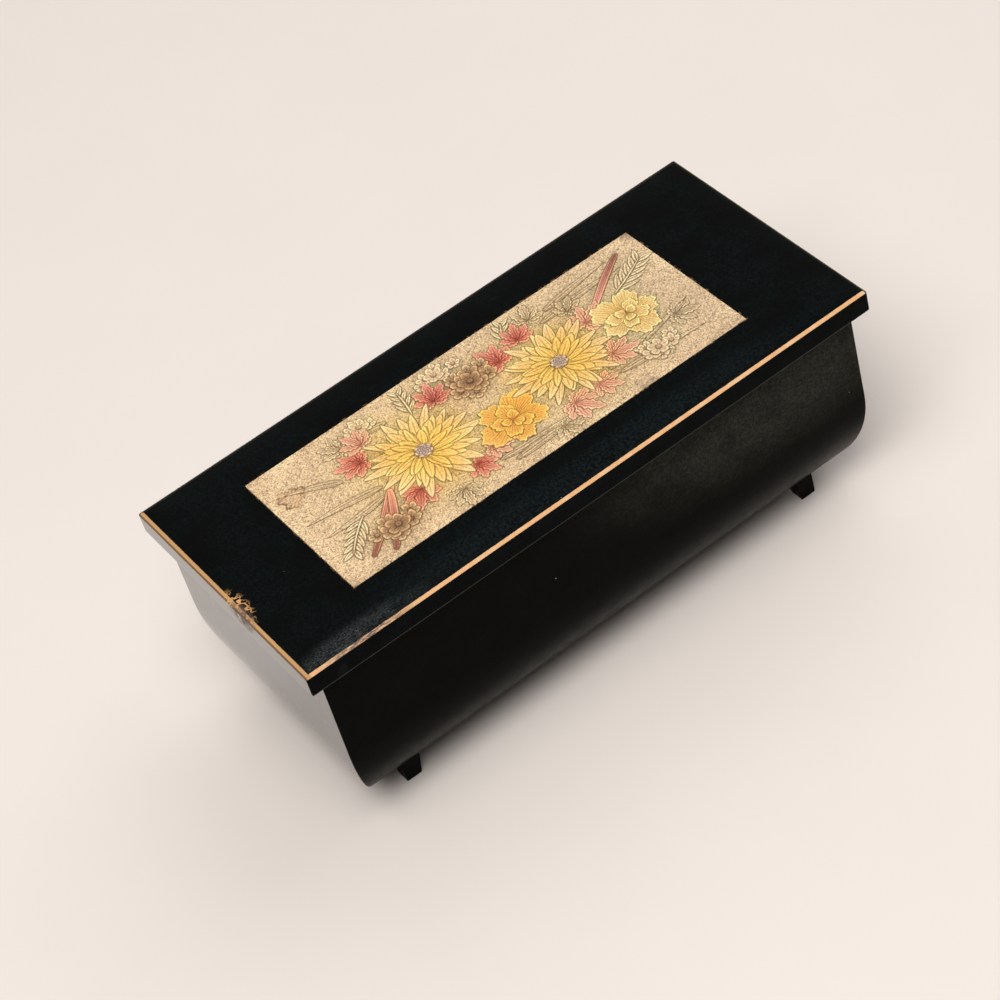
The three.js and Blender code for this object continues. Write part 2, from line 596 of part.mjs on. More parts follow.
const PLATE_TOP = BEDPLATE_THICKNESS;
const HOUSING_BOTTOM = PLATE_TOP + GAP;
const HOUSING_TOP = HOUSING_BOTTOM + HOUSING_HEIGHT;
const WHEEL_BOTTOM = HOUSING_TOP + GAP;
const WHEEL_TOP = WHEEL_BOTTOM + WHEEL_THICKNESS;
const AXIS_Z = WHEEL_TOP + TIP_CLEARANCE + PINION_TIP_RADIUS;
const PINION_Y = ARBOR_Y - CROWN_PITCH_RADIUS;
const DRIVE_PLATE_Y = ARBOR_Y - WHEEL_RADIUS - 3 * GAP - PLATE / 2;
const CYLINDER_BACK = DRIVE_PLATE_Y - PLATE / 2 - 2 * GAP;
const CYLINDER_FRONT = CYLINDER_BACK - CYLINDER_LENGTH;
const GOVERNOR_PLATE_Y = CYLINDER_FRONT - 3 * GAP - PLATE / 2;
const END_GEAR_Y = GOVERNOR_PLATE_Y - PLATE / 2 - 3 * GAP - SPUR_WIDTH / 2;
const END_GEAR_RADIUS = (END_GEAR_TEETH * SPUR_PITCH) / (2 * Math.PI);
const GOVERNOR_PINION_RADIUS = (GOVERNOR_PINION_TEETH * SPUR_PITCH) / (2 * Math.PI);
const GOVERNOR_X = END_GEAR_RADIUS + GOVERNOR_PINION_RADIUS;
const WORM_WHEEL_RADIUS = (WORM_WHEEL_TEETH * WORM_PITCH) / (2 * Math.PI);
const WORM_WHEEL_Y = END_GEAR_Y - SPUR_WIDTH / 2 - 2 * GAP - WORM_WHEEL_WIDTH / 2;
const WORM_X = GOVERNOR_X + WORM_WHEEL_RADIUS + WORM_RADIUS;
const OUTER_PLATE_Y = WORM_WHEEL_Y - FAN_RADIUS - 2 * GAP;
const WHEEL_REACH = WORM_WHEEL_RADIUS + WORM_DEPTH;
const FAN_BOTTOM = AXIS_Z + WHEEL_REACH + 3 * GAP;
const FAN_TOP = FAN_BOTTOM + FAN_HEIGHT;
const BRACKET_TOP = FAN_TOP + 2 * GAP + PLATE;
const WORM_FOOT = AXIS_Z - WORM_LENGTH / 2 - 2 * GAP;
const BRACKET_X = WORM_X + FAN_RADIUS + GAP;
const COMB_BOTTOM = AXIS_Z - COMB_THICKNESS / 2;
const COMB_TIP_X = -CYLINDER_RADIUS - PIN_HEIGHT - GAP;
const COMB_ROOT_X = COMB_TIP_X - COMB_TOOTH_LENGTH;
const COMB_BACK_X = COMB_ROOT_X - COMB_BASE_LENGTH;
const COMB_BLOCK_TOP = COMB_BOTTOM - GAP;
const COMB_MIDDLE_Y = (CYLINDER_FRONT + CYLINDER_BACK) / 2;
const COMB_HALF_WIDTH = (NOTES * NOTE_PITCH) / 2;
const LEVER_Y = OUTER_PLATE_Y - PLATE / 2 - 3;
const LEVER_Z = FAN_BOTTOM - 1.6;
const STOP_ROD_Y = STOP_ROD_INSET - CASE_HALF_WIDTH;
const LEVER_PIN_RADIUS = 0.5;
const LEVER_HALF_WIDTH = 0.9;
const LEVER_STOCK = 0.8;
const BEDPLATE_Z = CASE_FLOOR + GAP;
const STOP_ROD_PLACE = [MOVEMENT_X + WORM_X, CASE_MIDDLE_Y + STOP_ROD_Y];

function combScrewPlaces() {
  return [-1, 1].map((side) => [COMB_BACK_X + COMB_BASE_LENGTH / 2, COMB_MIDDLE_Y + (side * COMB_HALF_WIDTH) / 2]);
}

function bedplate() {
  const shape = new THREE.Shape();
  const [left, right, front, back, corner] = [BEDPLATE_LEFT, BEDPLATE_RIGHT, BEDPLATE_FRONT, BEDPLATE_BACK, BEDPLATE_CORNER];
  shape.moveTo(left + corner, front);
  shape.absarc(right - corner, front + corner, corner, -Math.PI / 2, 0);
  shape.absarc(right - corner, back - corner, corner, 0, Math.PI / 2);
  shape.absarc(left + corner, back - corner, corner, Math.PI / 2, Math.PI);
  shape.absarc(left + corner, front + corner, corner, Math.PI, 1.5 * Math.PI);
  const combBlock = block(
    [COMB_BACK_X, COMB_ROOT_X], [COMB_MIDDLE_Y - COMB_HALF_WIDTH, COMB_MIDDLE_Y + COMB_HALF_WIDTH], [PLATE_TOP / 2, COMB_BLOCK_TOP],
  );
  const ear = (side) => {
    const near = WORM_X + side * (LEVER_HALF_WIDTH + GAP);
    const top = LEVER_Z + LEVER_PIN_RADIUS + RUN + PLATE;
    return block(upwards(near, near + side * PLATE), [LEVER_Y - 1.4, LEVER_Y + 1.4], [PLATE_TOP / 2, top]);
  };
  const pinHole = bar('x', LEVER_PIN_RADIUS + RUN, WORM_X - ABOVE, WORM_X + ABOVE, [LEVER_Y, LEVER_Z], 12);
  const screwBores = MOVEMENT_SCREWS.map(({ x, y }) => bar('z', MOVEMENT_SCREW_RADIUS + GAP, -ABOVE, ABOVE, [x, y], 16));
  const combBores = combScrewPlaces().map((place) =>
    bar('z', COMB_SCREW_RADIUS + GAP, COMB_BLOCK_TOP + COMB_THICKNESS - COMB_SCREW_LENGTH, COMB_BLOCK_TOP + ABOVE, place, 12));
  const arborBore = bar('z', ARBOR_RADIUS + RUN, -ABOVE, ABOVE, [0, ARBOR_Y], 20);
  const whole = join([prism('z', shape, 0, PLATE_TOP, 5), combBlock, ear(-1), ear(1)]);
  const room = tubForm(WALL + GAP, FLOOR + GAP, CASE_RIM).translate([-MOVEMENT_X, -CASE_MIDDLE_Y, -BEDPLATE_Z]);
  return cut(whole, [pinHole, arborBore, ...screwBores, ...combBores]).intersect(room);
}

function springHousing() {
  const centre = [0, ARBOR_Y];
  return cut(bar('z', HOUSING_RADIUS, HOUSING_BOTTOM, HOUSING_TOP, centre, 36), [
    bar('z', HOUSING_RADIUS - HOUSING_WALL, HOUSING_BOTTOM - ABOVE, HOUSING_TOP - HOUSING_WALL, centre, 36),
    bar('z', ARBOR_RADIUS + RUN, HOUSING_BOTTOM, HOUSING_TOP + ABOVE, centre, 20),
  ]);
}

// The mainspring: one flat strip wound outwards from the arbor to the housing's wall.
function mainspring() {
  const inner = ARBOR_RADIUS + GAP + SPRING_STOCK / 2;
  const outer = HOUSING_RADIUS - HOUSING_WALL - GAP - SPRING_STOCK / 2;
  const steps = SPRING_TURNS * 20;
  const edge = (offset) => {
    const points = [];
    for (let i = 0; i <= steps; i += 1) {
      const angle = (SPRING_TURNS * 2 * Math.PI * i) / steps;
      const radius = inner + ((outer - inner) * i) / steps + offset;
      points.push([radius * Math.cos(angle), ARBOR_Y + radius * Math.sin(angle)]);
    }
    return points;
  };
  const strip = outline([...edge(SPRING_STOCK / 2), ...edge(-SPRING_STOCK / 2).reverse()]);
  return prism('z', strip, HOUSING_BOTTOM, HOUSING_TOP - HOUSING_WALL - GAP);
}

const KEY_BOTTOM = KEY_TABLE_CLEARANCE - BEDPLATE_Z;
const KEY_TOP = -GAP;

// The winding arbor, with a shoulder that seats under the great wheel.
function windingArbor() {
  return bar('z', ARBOR_RADIUS, KEY_BOTTOM + KEY_LOBE_RADIUS, WHEEL_TOP + GAP, [0, ARBOR_Y], 20);
}

function greatWheel() {
  const centre = [0, ARBOR_Y];
  const tooth = (index) => {
    const half = CROWN_TOOTH_THICKNESS / 2;
    const reach = CROWN_TOOTH_LENGTH / 2;
    const blade = block([CROWN_PITCH_RADIUS - reach, CROWN_PITCH_RADIUS + reach], [-half, half],
      [WHEEL_TOP - WHEEL_THICKNESS / 2, WHEEL_TOP + CROWN_TOOTH_HEIGHT]);
    const degrees = ((index + 0.5) * 360) / CROWN_TEETH - 90;
    return blade.rotate([0, 0, degrees]).translate([0, ARBOR_Y, 0]);
  };
  const teeth = Array.from({ length: CROWN_TEETH }, (_, index) => tooth(index));
  const lightening = [0, 1, 2, 3, 4].map((index) => {
    const angle = (index * 2 * Math.PI) / 5;
    return bar('z', 2.2, WHEEL_BOTTOM - GAP, WHEEL_TOP + GAP, [6 * Math.cos(angle), ARBOR_Y + 6 * Math.sin(angle)], 12);
  });
  const disc = cut(bar('z', WHEEL_RADIUS, WHEEL_BOTTOM, WHEEL_TOP, centre, 48), [
    bar('z', ARBOR_RADIUS + RUN, WHEEL_BOTTOM - GAP, WHEEL_TOP + GAP, centre, 20),
    ...lightening,
  ]);
  return join([disc, ...teeth]);
}

// The winding key: a sheet with two round lobes on a hub, low enough to clear the table.
function windingKey() {
  const lobe = KEY_SPAN / 2 - KEY_LOBE_RADIUS;
  const middle = KEY_BOTTOM + KEY_LOBE_RADIUS;
  const shape = new THREE.Shape();
  shape.moveTo(-lobe, middle - KEY_LOBE_RADIUS);
  shape.lineTo(lobe, middle - KEY_LOBE_RADIUS);
  shape.absarc(lobe, middle, KEY_LOBE_RADIUS, -Math.PI / 2, Math.PI / 2);
  shape.lineTo(-lobe, middle + KEY_LOBE_RADIUS);
  shape.absarc(-lobe, middle, KEY_LOBE_RADIUS, Math.PI / 2, 1.5 * Math.PI);
  for (const side of [-1, 1]) {
    const hole = new THREE.Path();
    hole.absarc(side * lobe, middle, KEY_LOBE_RADIUS * 0.45, 0, 2 * Math.PI);
    shape.holes.push(hole);
  }
  const wings = prism('y', shape, ARBOR_Y - KEY_SHEET / 2, ARBOR_Y + KEY_SHEET / 2, 8);
  const hub = bar('z', KEY_HUB_RADIUS, KEY_BOTTOM + 1, KEY_TOP, [0, ARBOR_Y], 20);
  const bore = bar('z', ARBOR_RADIUS + RUN, middle - GAP, KEY_TOP + GAP, [0, ARBOR_Y], 20);
  return join([wings, hub]).subtract(bore);
}

// A spur gear's outline, with teeth that taper from the root to the tip. The first tooth points along phase.
function gearOutline(teeth, rootRadius, tipRadius, rootWidth, tipWidth, phase, [cx, cy]) {
  const points = [];
  for (let index = 0; index < teeth; index += 1) {
    const middle = phase + (2 * Math.PI * index) / teeth;
    const at = (radius, across) => {
      const angle = middle + across / radius;
      points.push([cx + radius * Math.cos(angle), cy + radius * Math.sin(angle)]);
    };
    at(rootRadius, -rootWidth / 2);
    at(tipRadius, -tipWidth / 2);
    at(tipRadius, tipWidth / 2);
    at(rootRadius, rootWidth / 2);
  }
  return outline(points);
}

function gear(y, width, shape, centre, boreRadius) {
  const wheel = prism('y', shape, y - width / 2, y + width / 2);
  return wheel.subtract(bar('y', boreRadius, y - width, y + width, centre, 16));
}

// The cylinder's melody: any pattern will do, so each note's pins sit at steps of the golden angle.
function pinnedCylinder() {
  const centre = [0, AXIS_Z];
  const barrel = bar('y', CYLINDER_RADIUS, CYLINDER_FRONT, CYLINDER_BACK, centre, 40);
  const pins = [];
  for (let index = 0; index < NOTES * PINS_PER_NOTE; index += 1) {
    const note = index % NOTES;
    const y = COMB_MIDDLE_Y + (note - (NOTES - 1) / 2) * NOTE_PITCH;
    const half = PIN_SIZE / 2;
    const pin = block([CYLINDER_RADIUS - 0.4, CYLINDER_RADIUS + PIN_HEIGHT], [-half, half], [-half, half]);
    const degrees = (index * 137.5) % 360;
    pins.push(pin.rotate([0, degrees, 0]).translate([0, y, AXIS_Z]));
  }
  const bore = bar('y', CYLINDER_ARBOR_RADIUS + RUN, CYLINDER_FRONT - GAP, CYLINDER_BACK + GAP, centre, 16);
  return join([barrel, ...pins]).subtract(bore);
}

function cylinderArbor() {
  return bar('y', CYLINDER_ARBOR_RADIUS, END_GEAR_Y - SPUR_WIDTH / 2 - GAP, PINION_Y + PINION_WIDTH / 2 + 3 * GAP, [0, AXIS_Z], 16);
}

function drivePinion() {
  const shape = gearOutline(PINION_TEETH, PINION_ROOT_RADIUS, PINION_TIP_RADIUS, 0.62, 0.36, -Math.PI / 2, [0, AXIS_Z]);
  return gear(PINION_Y, PINION_WIDTH, shape, [0, AXIS_Z], CYLINDER_ARBOR_RADIUS + RUN);
}

function spurGear(teeth, radius, phase, centre, boreRadius) {
  const root = radius - SPUR_DEDENDUM;
  const tip = radius + SPUR_ADDENDUM;
  const shape = gearOutline(teeth, root, tip, SPUR_TOOTH * 1.3, SPUR_TOOTH * 0.7, phase, centre);
  return gear(END_GEAR_Y, SPUR_WIDTH, shape, centre, boreRadius);
}

const endGear = () => spurGear(END_GEAR_TEETH, END_GEAR_RADIUS, 0, [0, AXIS_Z], CYLINDER_ARBOR_RADIUS + RUN);

// The governor's arbor carries the small pinion in one piece with it.
function governorArbor() {
  const centre = [GOVERNOR_X, AXIS_Z];
  const shaft = bar('y', GOVERNOR_ARBOR_RADIUS, OUTER_PLATE_Y - PLATE, CYLINDER_FRONT - GAP, centre, 12);
  const phase = Math.PI + Math.PI / GOVERNOR_PINION_TEETH;
  const root = GOVERNOR_PINION_RADIUS - SPUR_DEDENDUM;
  const tip = GOVERNOR_PINION_RADIUS + SPUR_ADDENDUM;
  const shape = gearOutline(GOVERNOR_PINION_TEETH, root, tip, SPUR_TOOTH * 1.3, SPUR_TOOTH * 0.7, phase, centre);
  return shaft.add(prism('y', shape, END_GEAR_Y - SPUR_WIDTH / 2, END_GEAR_Y + SPUR_WIDTH / 2));
}

function wormWheel() {
  const centre = [GOVERNOR_X, AXIS_Z];
  const root = WORM_WHEEL_RADIUS - WORM_DEPTH - TIP_CLEARANCE;
  const shape = gearOutline(WORM_WHEEL_TEETH, root, WHEEL_REACH, 0.46, 0.28, 0, centre);
  return gear(WORM_WHEEL_Y, WORM_WHEEL_WIDTH, shape, centre, GOVERNOR_ARBOR_RADIUS + RUN);
}

// The worm's thread: a tapering ridge wound round the shaft, right-handed.
function wormThread() {
  const steps = 16;
  const turns = WORM_LENGTH / WORM_PITCH - 1;
  const count = Math.round(turns * steps);
  const section = [[WORM_CORE_RADIUS - 0.1, -0.24], [WORM_RADIUS + WORM_DEPTH, -0.13],
    [WORM_RADIUS + WORM_DEPTH, 0.13], [WORM_CORE_RADIUS - 0.1, 0.24]];
  const positions = [];
  for (let i = 0; i <= count; i += 1) {
    const angle = (2 * Math.PI * (i - count / 2)) / steps;
    const rise = (WORM_PITCH * angle) / (2 * Math.PI);
    for (const [radius, along] of section) {
      positions.push(WORM_X + radius * Math.cos(angle), WORM_WHEEL_Y + radius * Math.sin(angle), AXIS_Z + rise + along);
    }
  }
  const triangles = [];
  for (let i = 0; i < count; i += 1) {
    for (let k = 0; k < 4; k += 1) {
      const a = i * 4 + k;
      const b = i * 4 + ((k + 1) % 4);
      triangles.push(a, b + 4, b, a, a + 4, b + 4);
    }
  }
  const last = count * 4;
  triangles.push(0, 1, 2, 0, 2, 3, last, last + 2, last + 1, last, last + 3, last + 2);
  const geometry = new THREE.BufferGeometry();
  geometry.setAttribute('position', new THREE.BufferAttribute(new Float32Array(positions), 3));
  geometry.setIndex(triangles);
  return solidOf(geometry);
}

function wormShaft() {
  const centre = [WORM_X, WORM_WHEEL_Y];
  const shaft = bar('z', WORM_CORE_RADIUS, WORM_FOOT - PLATE - GAP, BRACKET_TOP + GAP, centre, 12);
  return shaft.add(wormThread());
}

function airFan() {
  const half = FAN_SHEET / 2;
  const centre = [WORM_X, WORM_WHEEL_Y];
  const wing = block([WORM_X - FAN_RADIUS, WORM_X + FAN_RADIUS], [WORM_WHEEL_Y - half, WORM_WHEEL_Y + half], [FAN_BOTTOM, FAN_TOP]);
  const hub = bar('z', WORM_CORE_RADIUS + RUN + 0.5, FAN_BOTTOM, FAN_TOP, centre, 14);
  return wing.add(hub).subtract(bar('z', WORM_CORE_RADIUS + RUN, FAN_BOTTOM - GAP, FAN_TOP + GAP, centre, 12));
}

// A bearing plate with a foot on the bedplate and a hole for each [x, radius] that it carries.
function bearingPlate(y, footSide, holes) {
  const bottom = PLATE_TOP + GAP;
  const top = AXIS_Z + 2.4;
  const right = Math.max(PLATE_HALF_WIDTH, ...holes.map(([x, radius]) => x + radius + 1));
  const upright = block([-PLATE_HALF_WIDTH, right], [y - PLATE / 2, y + PLATE / 2], [bottom, top]);
  const flange = block([-PLATE_HALF_WIDTH, right], upwards(y, y + footSide * 4), [bottom, bottom + PLATE]);
  const bores = holes.map(([x, radius]) => bar('y', radius + RUN, y - PLATE, y + PLATE, [x, AXIS_Z], 16));
  return cut(upright.add(flange), bores);
}

const drivePlate = () => bearingPlate(DRIVE_PLATE_Y, -1, [[0, CYLINDER_ARBOR_RADIUS]]);

const governorPlate = () =>
  bearingPlate(GOVERNOR_PLATE_Y, 1, [[0, CYLINDER_ARBOR_RADIUS], [GOVERNOR_X, GOVERNOR_ARBOR_RADIUS]]);

// The governor's bracket: an end plate for its arbor, and a post with two arms for the worm shaft.
function governorBracket() {
  const bottom = PLATE_TOP + GAP;
  const front = OUTER_PLATE_Y - PLATE / 2;
  const endPlate = block([GOVERNOR_X - 2.2, GOVERNOR_X + 2.2], [front, front + PLATE], [bottom, AXIS_Z + 2]);
  const low = block([GOVERNOR_X - 2.2, BRACKET_X + PLATE], [front, front + PLATE], [bottom, WORM_FOOT]);
  const post = block([BRACKET_X, BRACKET_X + PLATE], [front, WORM_WHEEL_Y + 2], [bottom, BRACKET_TOP]);
  const arm = (top) => block([WORM_X - 1.8, BRACKET_X + PLATE], [WORM_WHEEL_Y - 1.6, WORM_WHEEL_Y + 1.6], [top - PLATE, top]);
  const wormBore = bar('z', WORM_CORE_RADIUS + RUN, bottom, BRACKET_TOP + GAP, [WORM_X, WORM_WHEEL_Y], 12);
  const arborBore = bar('y', GOVERNOR_ARBOR_RADIUS + RUN, front - GAP, front + PLATE + GAP, [GOVERNOR_X, AXIS_Z], 12);
  return cut(join([endPlate, low, post, arm(WORM_FOOT), arm(BRACKET_TOP)]), [wormBore, arborBore]);
}

// The comb: a steel plate with one tooth for each note.
function comb() {
  const back = COMB_MIDDLE_Y + COMB_HALF_WIDTH;
  const front = COMB_MIDDLE_Y - COMB_HALF_WIDTH;
  const points = [[COMB_BACK_X, back], [COMB_BACK_X, front]];
  for (let note = 0; note < NOTES; note += 1) {
    const low = front + note * NOTE_PITCH + COMB_SLOT / 2;
    const high = low + NOTE_PITCH - COMB_SLOT;
    const root = COMB_ROOT_X - (COMB_BASE_LENGTH * 0.3 * note) / NOTES;
    points.push([root, low], [COMB_TIP_X, low], [COMB_TIP_X, high], [root, high]);
  }
  const bores = combScrewPlaces().map((place) =>
    bar('z', COMB_SCREW_RADIUS + RUN, COMB_BOTTOM - GAP, COMB_BOTTOM + COMB_THICKNESS + GAP, place, 12));
  return cut(prism('z', outline(points), COMB_BOTTOM, COMB_BOTTOM + COMB_THICKNESS), bores);
}

// A cheese-headed screw whose head sits on z 0, with its shank going down.
function slottedScrew(radius, headRadius, headHeight, length) {
  const body = turned([[0, -length], [radius, -length], [radius, 0], [headRadius, 0], [headRadius, headHeight], [0, headHeight]], 16);
  const slot = block([-headRadius - 1, headRadius + 1], [-0.3, 0.3], [headHeight * 0.55, headHeight + 1]);
  return body.subtract(slot);
}

function combScrew(index) {
  const [x, y] = combScrewPlaces()[index];
  const screw = slottedScrew(COMB_SCREW_RADIUS, COMB_SCREW_HEAD_RADIUS, COMB_SCREW_HEAD_HEIGHT, COMB_SCREW_LENGTH);
  return screw.translate([x, y, COMB_BOTTOM + COMB_THICKNESS + GAP / 2]);
}

// A screw from below: its head sinks into the case floor, and its shank ends inside the bedplate.
function movementScrew(index) {
  const { x, y } = MOVEMENT_SCREWS[index];
  const seat = CASE_BOTTOM + MOVEMENT_SCREW_HEAD_HEIGHT - BEDPLATE_Z;
  const screw = slottedScrew(
    MOVEMENT_SCREW_RADIUS, MOVEMENT_SCREW_HEAD_RADIUS, MOVEMENT_SCREW_HEAD_HEIGHT, PLATE_TOP - GAP - seat,
  );
  return screw.rotate([180, 0, 0]).translate([x, y, seat]);
}

// The stop lever: one arm lies under the rod, the other ends in a finger under the fan.
function stopLever() {
  const half = LEVER_STOCK / 2;
  const finger = WORM_WHEEL_Y - FAN_RADIUS * 0.8;
  const shape = outline([
    [STOP_ROD_Y - 1.4, LEVER_Z - half],
    [finger + half, LEVER_Z - half],
    [finger + half, FAN_BOTTOM - GAP],
    [finger - half, FAN_BOTTOM - GAP],
    [finger - half, LEVER_Z + half],
    [STOP_ROD_Y - 1.4, LEVER_Z + half],
  ]);
  const strip = prism('x', shape, WORM_X - LEVER_HALF_WIDTH, WORM_X + LEVER_HALF_WIDTH);
  const boss = bar('x', LEVER_PIN_RADIUS + RUN + 0.5, WORM_X - LEVER_HALF_WIDTH, WORM_X + LEVER_HALF_WIDTH, [LEVER_Y, LEVER_Z], 16);
  const bore = bar('x', LEVER_PIN_RADIUS + RUN, WORM_X - ABOVE, WORM_X + ABOVE, [LEVER_Y, LEVER_Z], 12);
  return strip.add(boss).subtract(bore);
}

function stopLeverPin() {
  const half = LEVER_HALF_WIDTH + GAP + PLATE + 0.3;
  return bar('x', LEVER_PIN_RADIUS, WORM_X - half, WORM_X + half, [LEVER_Y, LEVER_Z], 12);
}

function stopRod() {
  const foot = LEVER_Z + LEVER_STOCK / 2 + GAP;
  return bar('z', STOP_ROD_RADIUS, foot, CASE_RIM - BEDPLATE_Z, [WORM_X, STOP_ROD_Y], 12);
}

// Assembly

const model = new THREE.Group();
model.add(part('case_shell', caseShell(), satinLacquer));
for (const [sideX, sideY, place] of [[-1, -1, 'front_left'], [1, -1, 'front_right'], [-1, 1, 'back_left'], [1, 1, 'back_right']]) {
  model.add(part(`foot_${place}`, foot(sideX, sideY), lacquer));
}
for (const [side, hand] of [[-1, 'left'], [1, 'right']]) {
  model.add(part(`hinge_case_leaf_${hand}`, hingeLeaf(side, -1), brass));
  model.add(part(`hinge_lid_leaf_${hand}`, hingeLeaf(side, 1), brass));
  model.add(part(`hinge_pin_${hand}`, hingePin(side), brass));
  for (const [end, number] of [[-1, 1], [1, 2]]) {
    model.add(part(`case_hinge_screw_${hand}_${number}`, hingeScrew(side, -1, end), brass));
    model.add(part(`lid_hinge_screw_${hand}_${number}`, hingeScrew(side, 1, end), brass));
  }
}
model.add(part('lid_board', lidBoard(), lacquer));
model.add(part('picture_panel', picturePanel(), goldFoil));
model.add(part('mirror', mirror(), mirrorGlass));
model.add(part('lid_lining', liningCard(), velvet));
model.add(part('well_lining', wellLining(), velvet));
model.add(part('partition', partition(), satinLacquer));
model.add(part('ring_riser', ringRiser(), velvet));
for (let index = 0; index < ROLL_COUNT; index += 1) {
  model.add(part(`ring_roll_${index + 1}`, ringRoll(index), velvet));
}
model.add(part('movement_cover', movementCover(), clearPlastic));
model.add(part('cover_ledge_front', coverLedge(-1), satinLacquer));
model.add(part('cover_ledge_back', coverLedge(1), satinLacquer));

const movement = new THREE.Group();
movement.position.set(MOVEMENT_X, CASE_MIDDLE_Y, BEDPLATE_Z);
movement.add(part('bedplate', bedplate(), castZinc));
movement.add(part('spring_housing', springHousing(), steel));
movement.add(part('mainspring', mainspring(), steel));
movement.add(part('winding_arbor', windingArbor(), steel));
movement.add(part('great_wheel', greatWheel(), brass));
movement.add(part('winding_key', windingKey(), brass));
movement.add(part('pinned_cylinder', pinnedCylinder(), brass));
movement.add(part('cylinder_arbor', cylinderArbor(), steel));
movement.add(part('drive_pinion', drivePinion(), brass));
movement.add(part('end_gear', endGear(), brass));
movement.add(part('drive_bearing_plate', drivePlate(), steel));
movement.add(part('governor_bearing_plate', governorPlate(), steel));
movement.add(part('comb', comb(), steel));
movement.add(part('comb_screw_1', combScrew(0), steel));
movement.add(part('comb_screw_2', combScrew(1), steel));
movement.add(part('governor_bracket', governorBracket(), steel));
movement.add(part('governor_arbor', governorArbor(), steel));
movement.add(part('governor_wheel', wormWheel(), brass));
movement.add(part('worm_shaft', wormShaft(), steel));
movement.add(part('air_fan', airFan(), brass));
movement.add(part('stop_lever', stopLever(), steel));
movement.add(part('stop_lever_pin', stopLeverPin(), steel));
movement.add(part('stop_rod', stopRod(), steel));
for (let index = 0; index < MOVEMENT_SCREWS.length; index += 1) {
  movement.add(part(`movement_screw_${index + 1}`, movementScrew(index), steel));
}
model.add(movement);

export default model;
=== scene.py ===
# A musical jewelry box: a black lacquered case and lid, an inlaid foil panel of embossed flowers,
# velvet linings and ring rolls, a mirror in the lid, and an 18-note movement under a clear cover.
# Metres, with +Z up, the front towards -Y and the table at z = 0.

import math

import bmesh
import bpy
import numpy as np
from mathutils import Matrix, Vector, noise


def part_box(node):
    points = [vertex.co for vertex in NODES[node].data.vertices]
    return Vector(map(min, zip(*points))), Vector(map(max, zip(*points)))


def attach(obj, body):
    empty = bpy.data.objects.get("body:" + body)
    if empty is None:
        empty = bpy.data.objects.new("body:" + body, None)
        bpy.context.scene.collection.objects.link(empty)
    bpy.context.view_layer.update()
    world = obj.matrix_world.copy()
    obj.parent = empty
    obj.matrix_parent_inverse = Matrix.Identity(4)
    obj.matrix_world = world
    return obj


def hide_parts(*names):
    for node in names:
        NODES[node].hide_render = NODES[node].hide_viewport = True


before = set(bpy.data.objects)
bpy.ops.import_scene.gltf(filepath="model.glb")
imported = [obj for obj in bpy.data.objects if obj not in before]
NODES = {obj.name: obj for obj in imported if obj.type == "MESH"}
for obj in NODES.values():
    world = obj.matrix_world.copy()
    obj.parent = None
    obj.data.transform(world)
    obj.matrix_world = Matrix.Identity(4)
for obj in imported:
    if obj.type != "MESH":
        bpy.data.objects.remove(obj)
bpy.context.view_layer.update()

MM = 0.001
GAP = 0.3 * MM  # play round a laid-in piece

# Camera, as the photograph was taken
CAMERA_PLACE = Vector((-0.30827, -0.66814, 0.76767))
CAMERA_AZIMUTH = math.radians(-23.971)
CAMERA_ELEVATION = math.radians(44.467)
CAMERA_ROLL = math.radians(-17.234)
CAMERA_LENS = 108.82

# Case: upright walls, and lower edges rounded in by quarter ellipses
CASE_LOW, CASE_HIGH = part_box("case_shell")
CASE_MIDDLE = (CASE_LOW + CASE_HIGH) / 2
CASE_HALF = (CASE_HIGH - CASE_LOW) / 2
ROUNDING_HEIGHT = 33.9 * MM
END_ROUNDING = 13.6 * MM
SIDE_ROUNDING = 20.4 * MM
WALL = 5 * MM
FLOOR = 5 * MM
CASE_CORNER = 0.6 * MM  # radius of the upright corners
CASE_ARRIS = 0.35 * MM
KEY_WELL_RADIUS = 11.4 * MM
SCREW_SINK = 2.1 * MM

# Lid
LID_LOW, LID_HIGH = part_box("lid_board")
LID_HALF = (LID_HIGH - LID_LOW) / 2
LID_EDGE = 7.9 * MM
LID_SHOULDER = LID_LOW.z + LID_EDGE
LID_CORNER = 0.7 * MM
LID_ARRIS = 0.4 * MM
STRIPE_WIDTH = 1.6 * MM
STRIPE_RISE = 0.5 * MM
BEVEL_WIDTH = 12 * MM

# Linings
LINING = 1.2 * MM
INSIDE = WALL + GAP
LINING_CORNER = 1.2 * MM
LINING_HEM = 0.55 * MM
MIRROR_LAP = 5 * MM

# Hinges
HINGE_REACH = 1.5 * MM  # half the hollow for the barrel
LEAF_SEAT_DEPTH = 5 * MM

# Pieces along the long and the short sides of a ring of points
PLAIN_SIDES = (12, 6)
CASE_LINING_SIDES = (30, 16)
LID_LINING_SIDES = (36, 18)


def adjust(thing, **values):
    """Sets attributes of a thing and gives it back."""
    for name, value in values.items():
        setattr(thing, name, value)
    return thing


def put(name, data):
    """A new object, put into the scene."""
    made = bpy.data.objects.new(name, data)
    bpy.context.scene.collection.objects.link(made)
    return made


def modify(piece, name, kind, **values):
    return adjust(piece.modifiers.new(name, kind), **values)


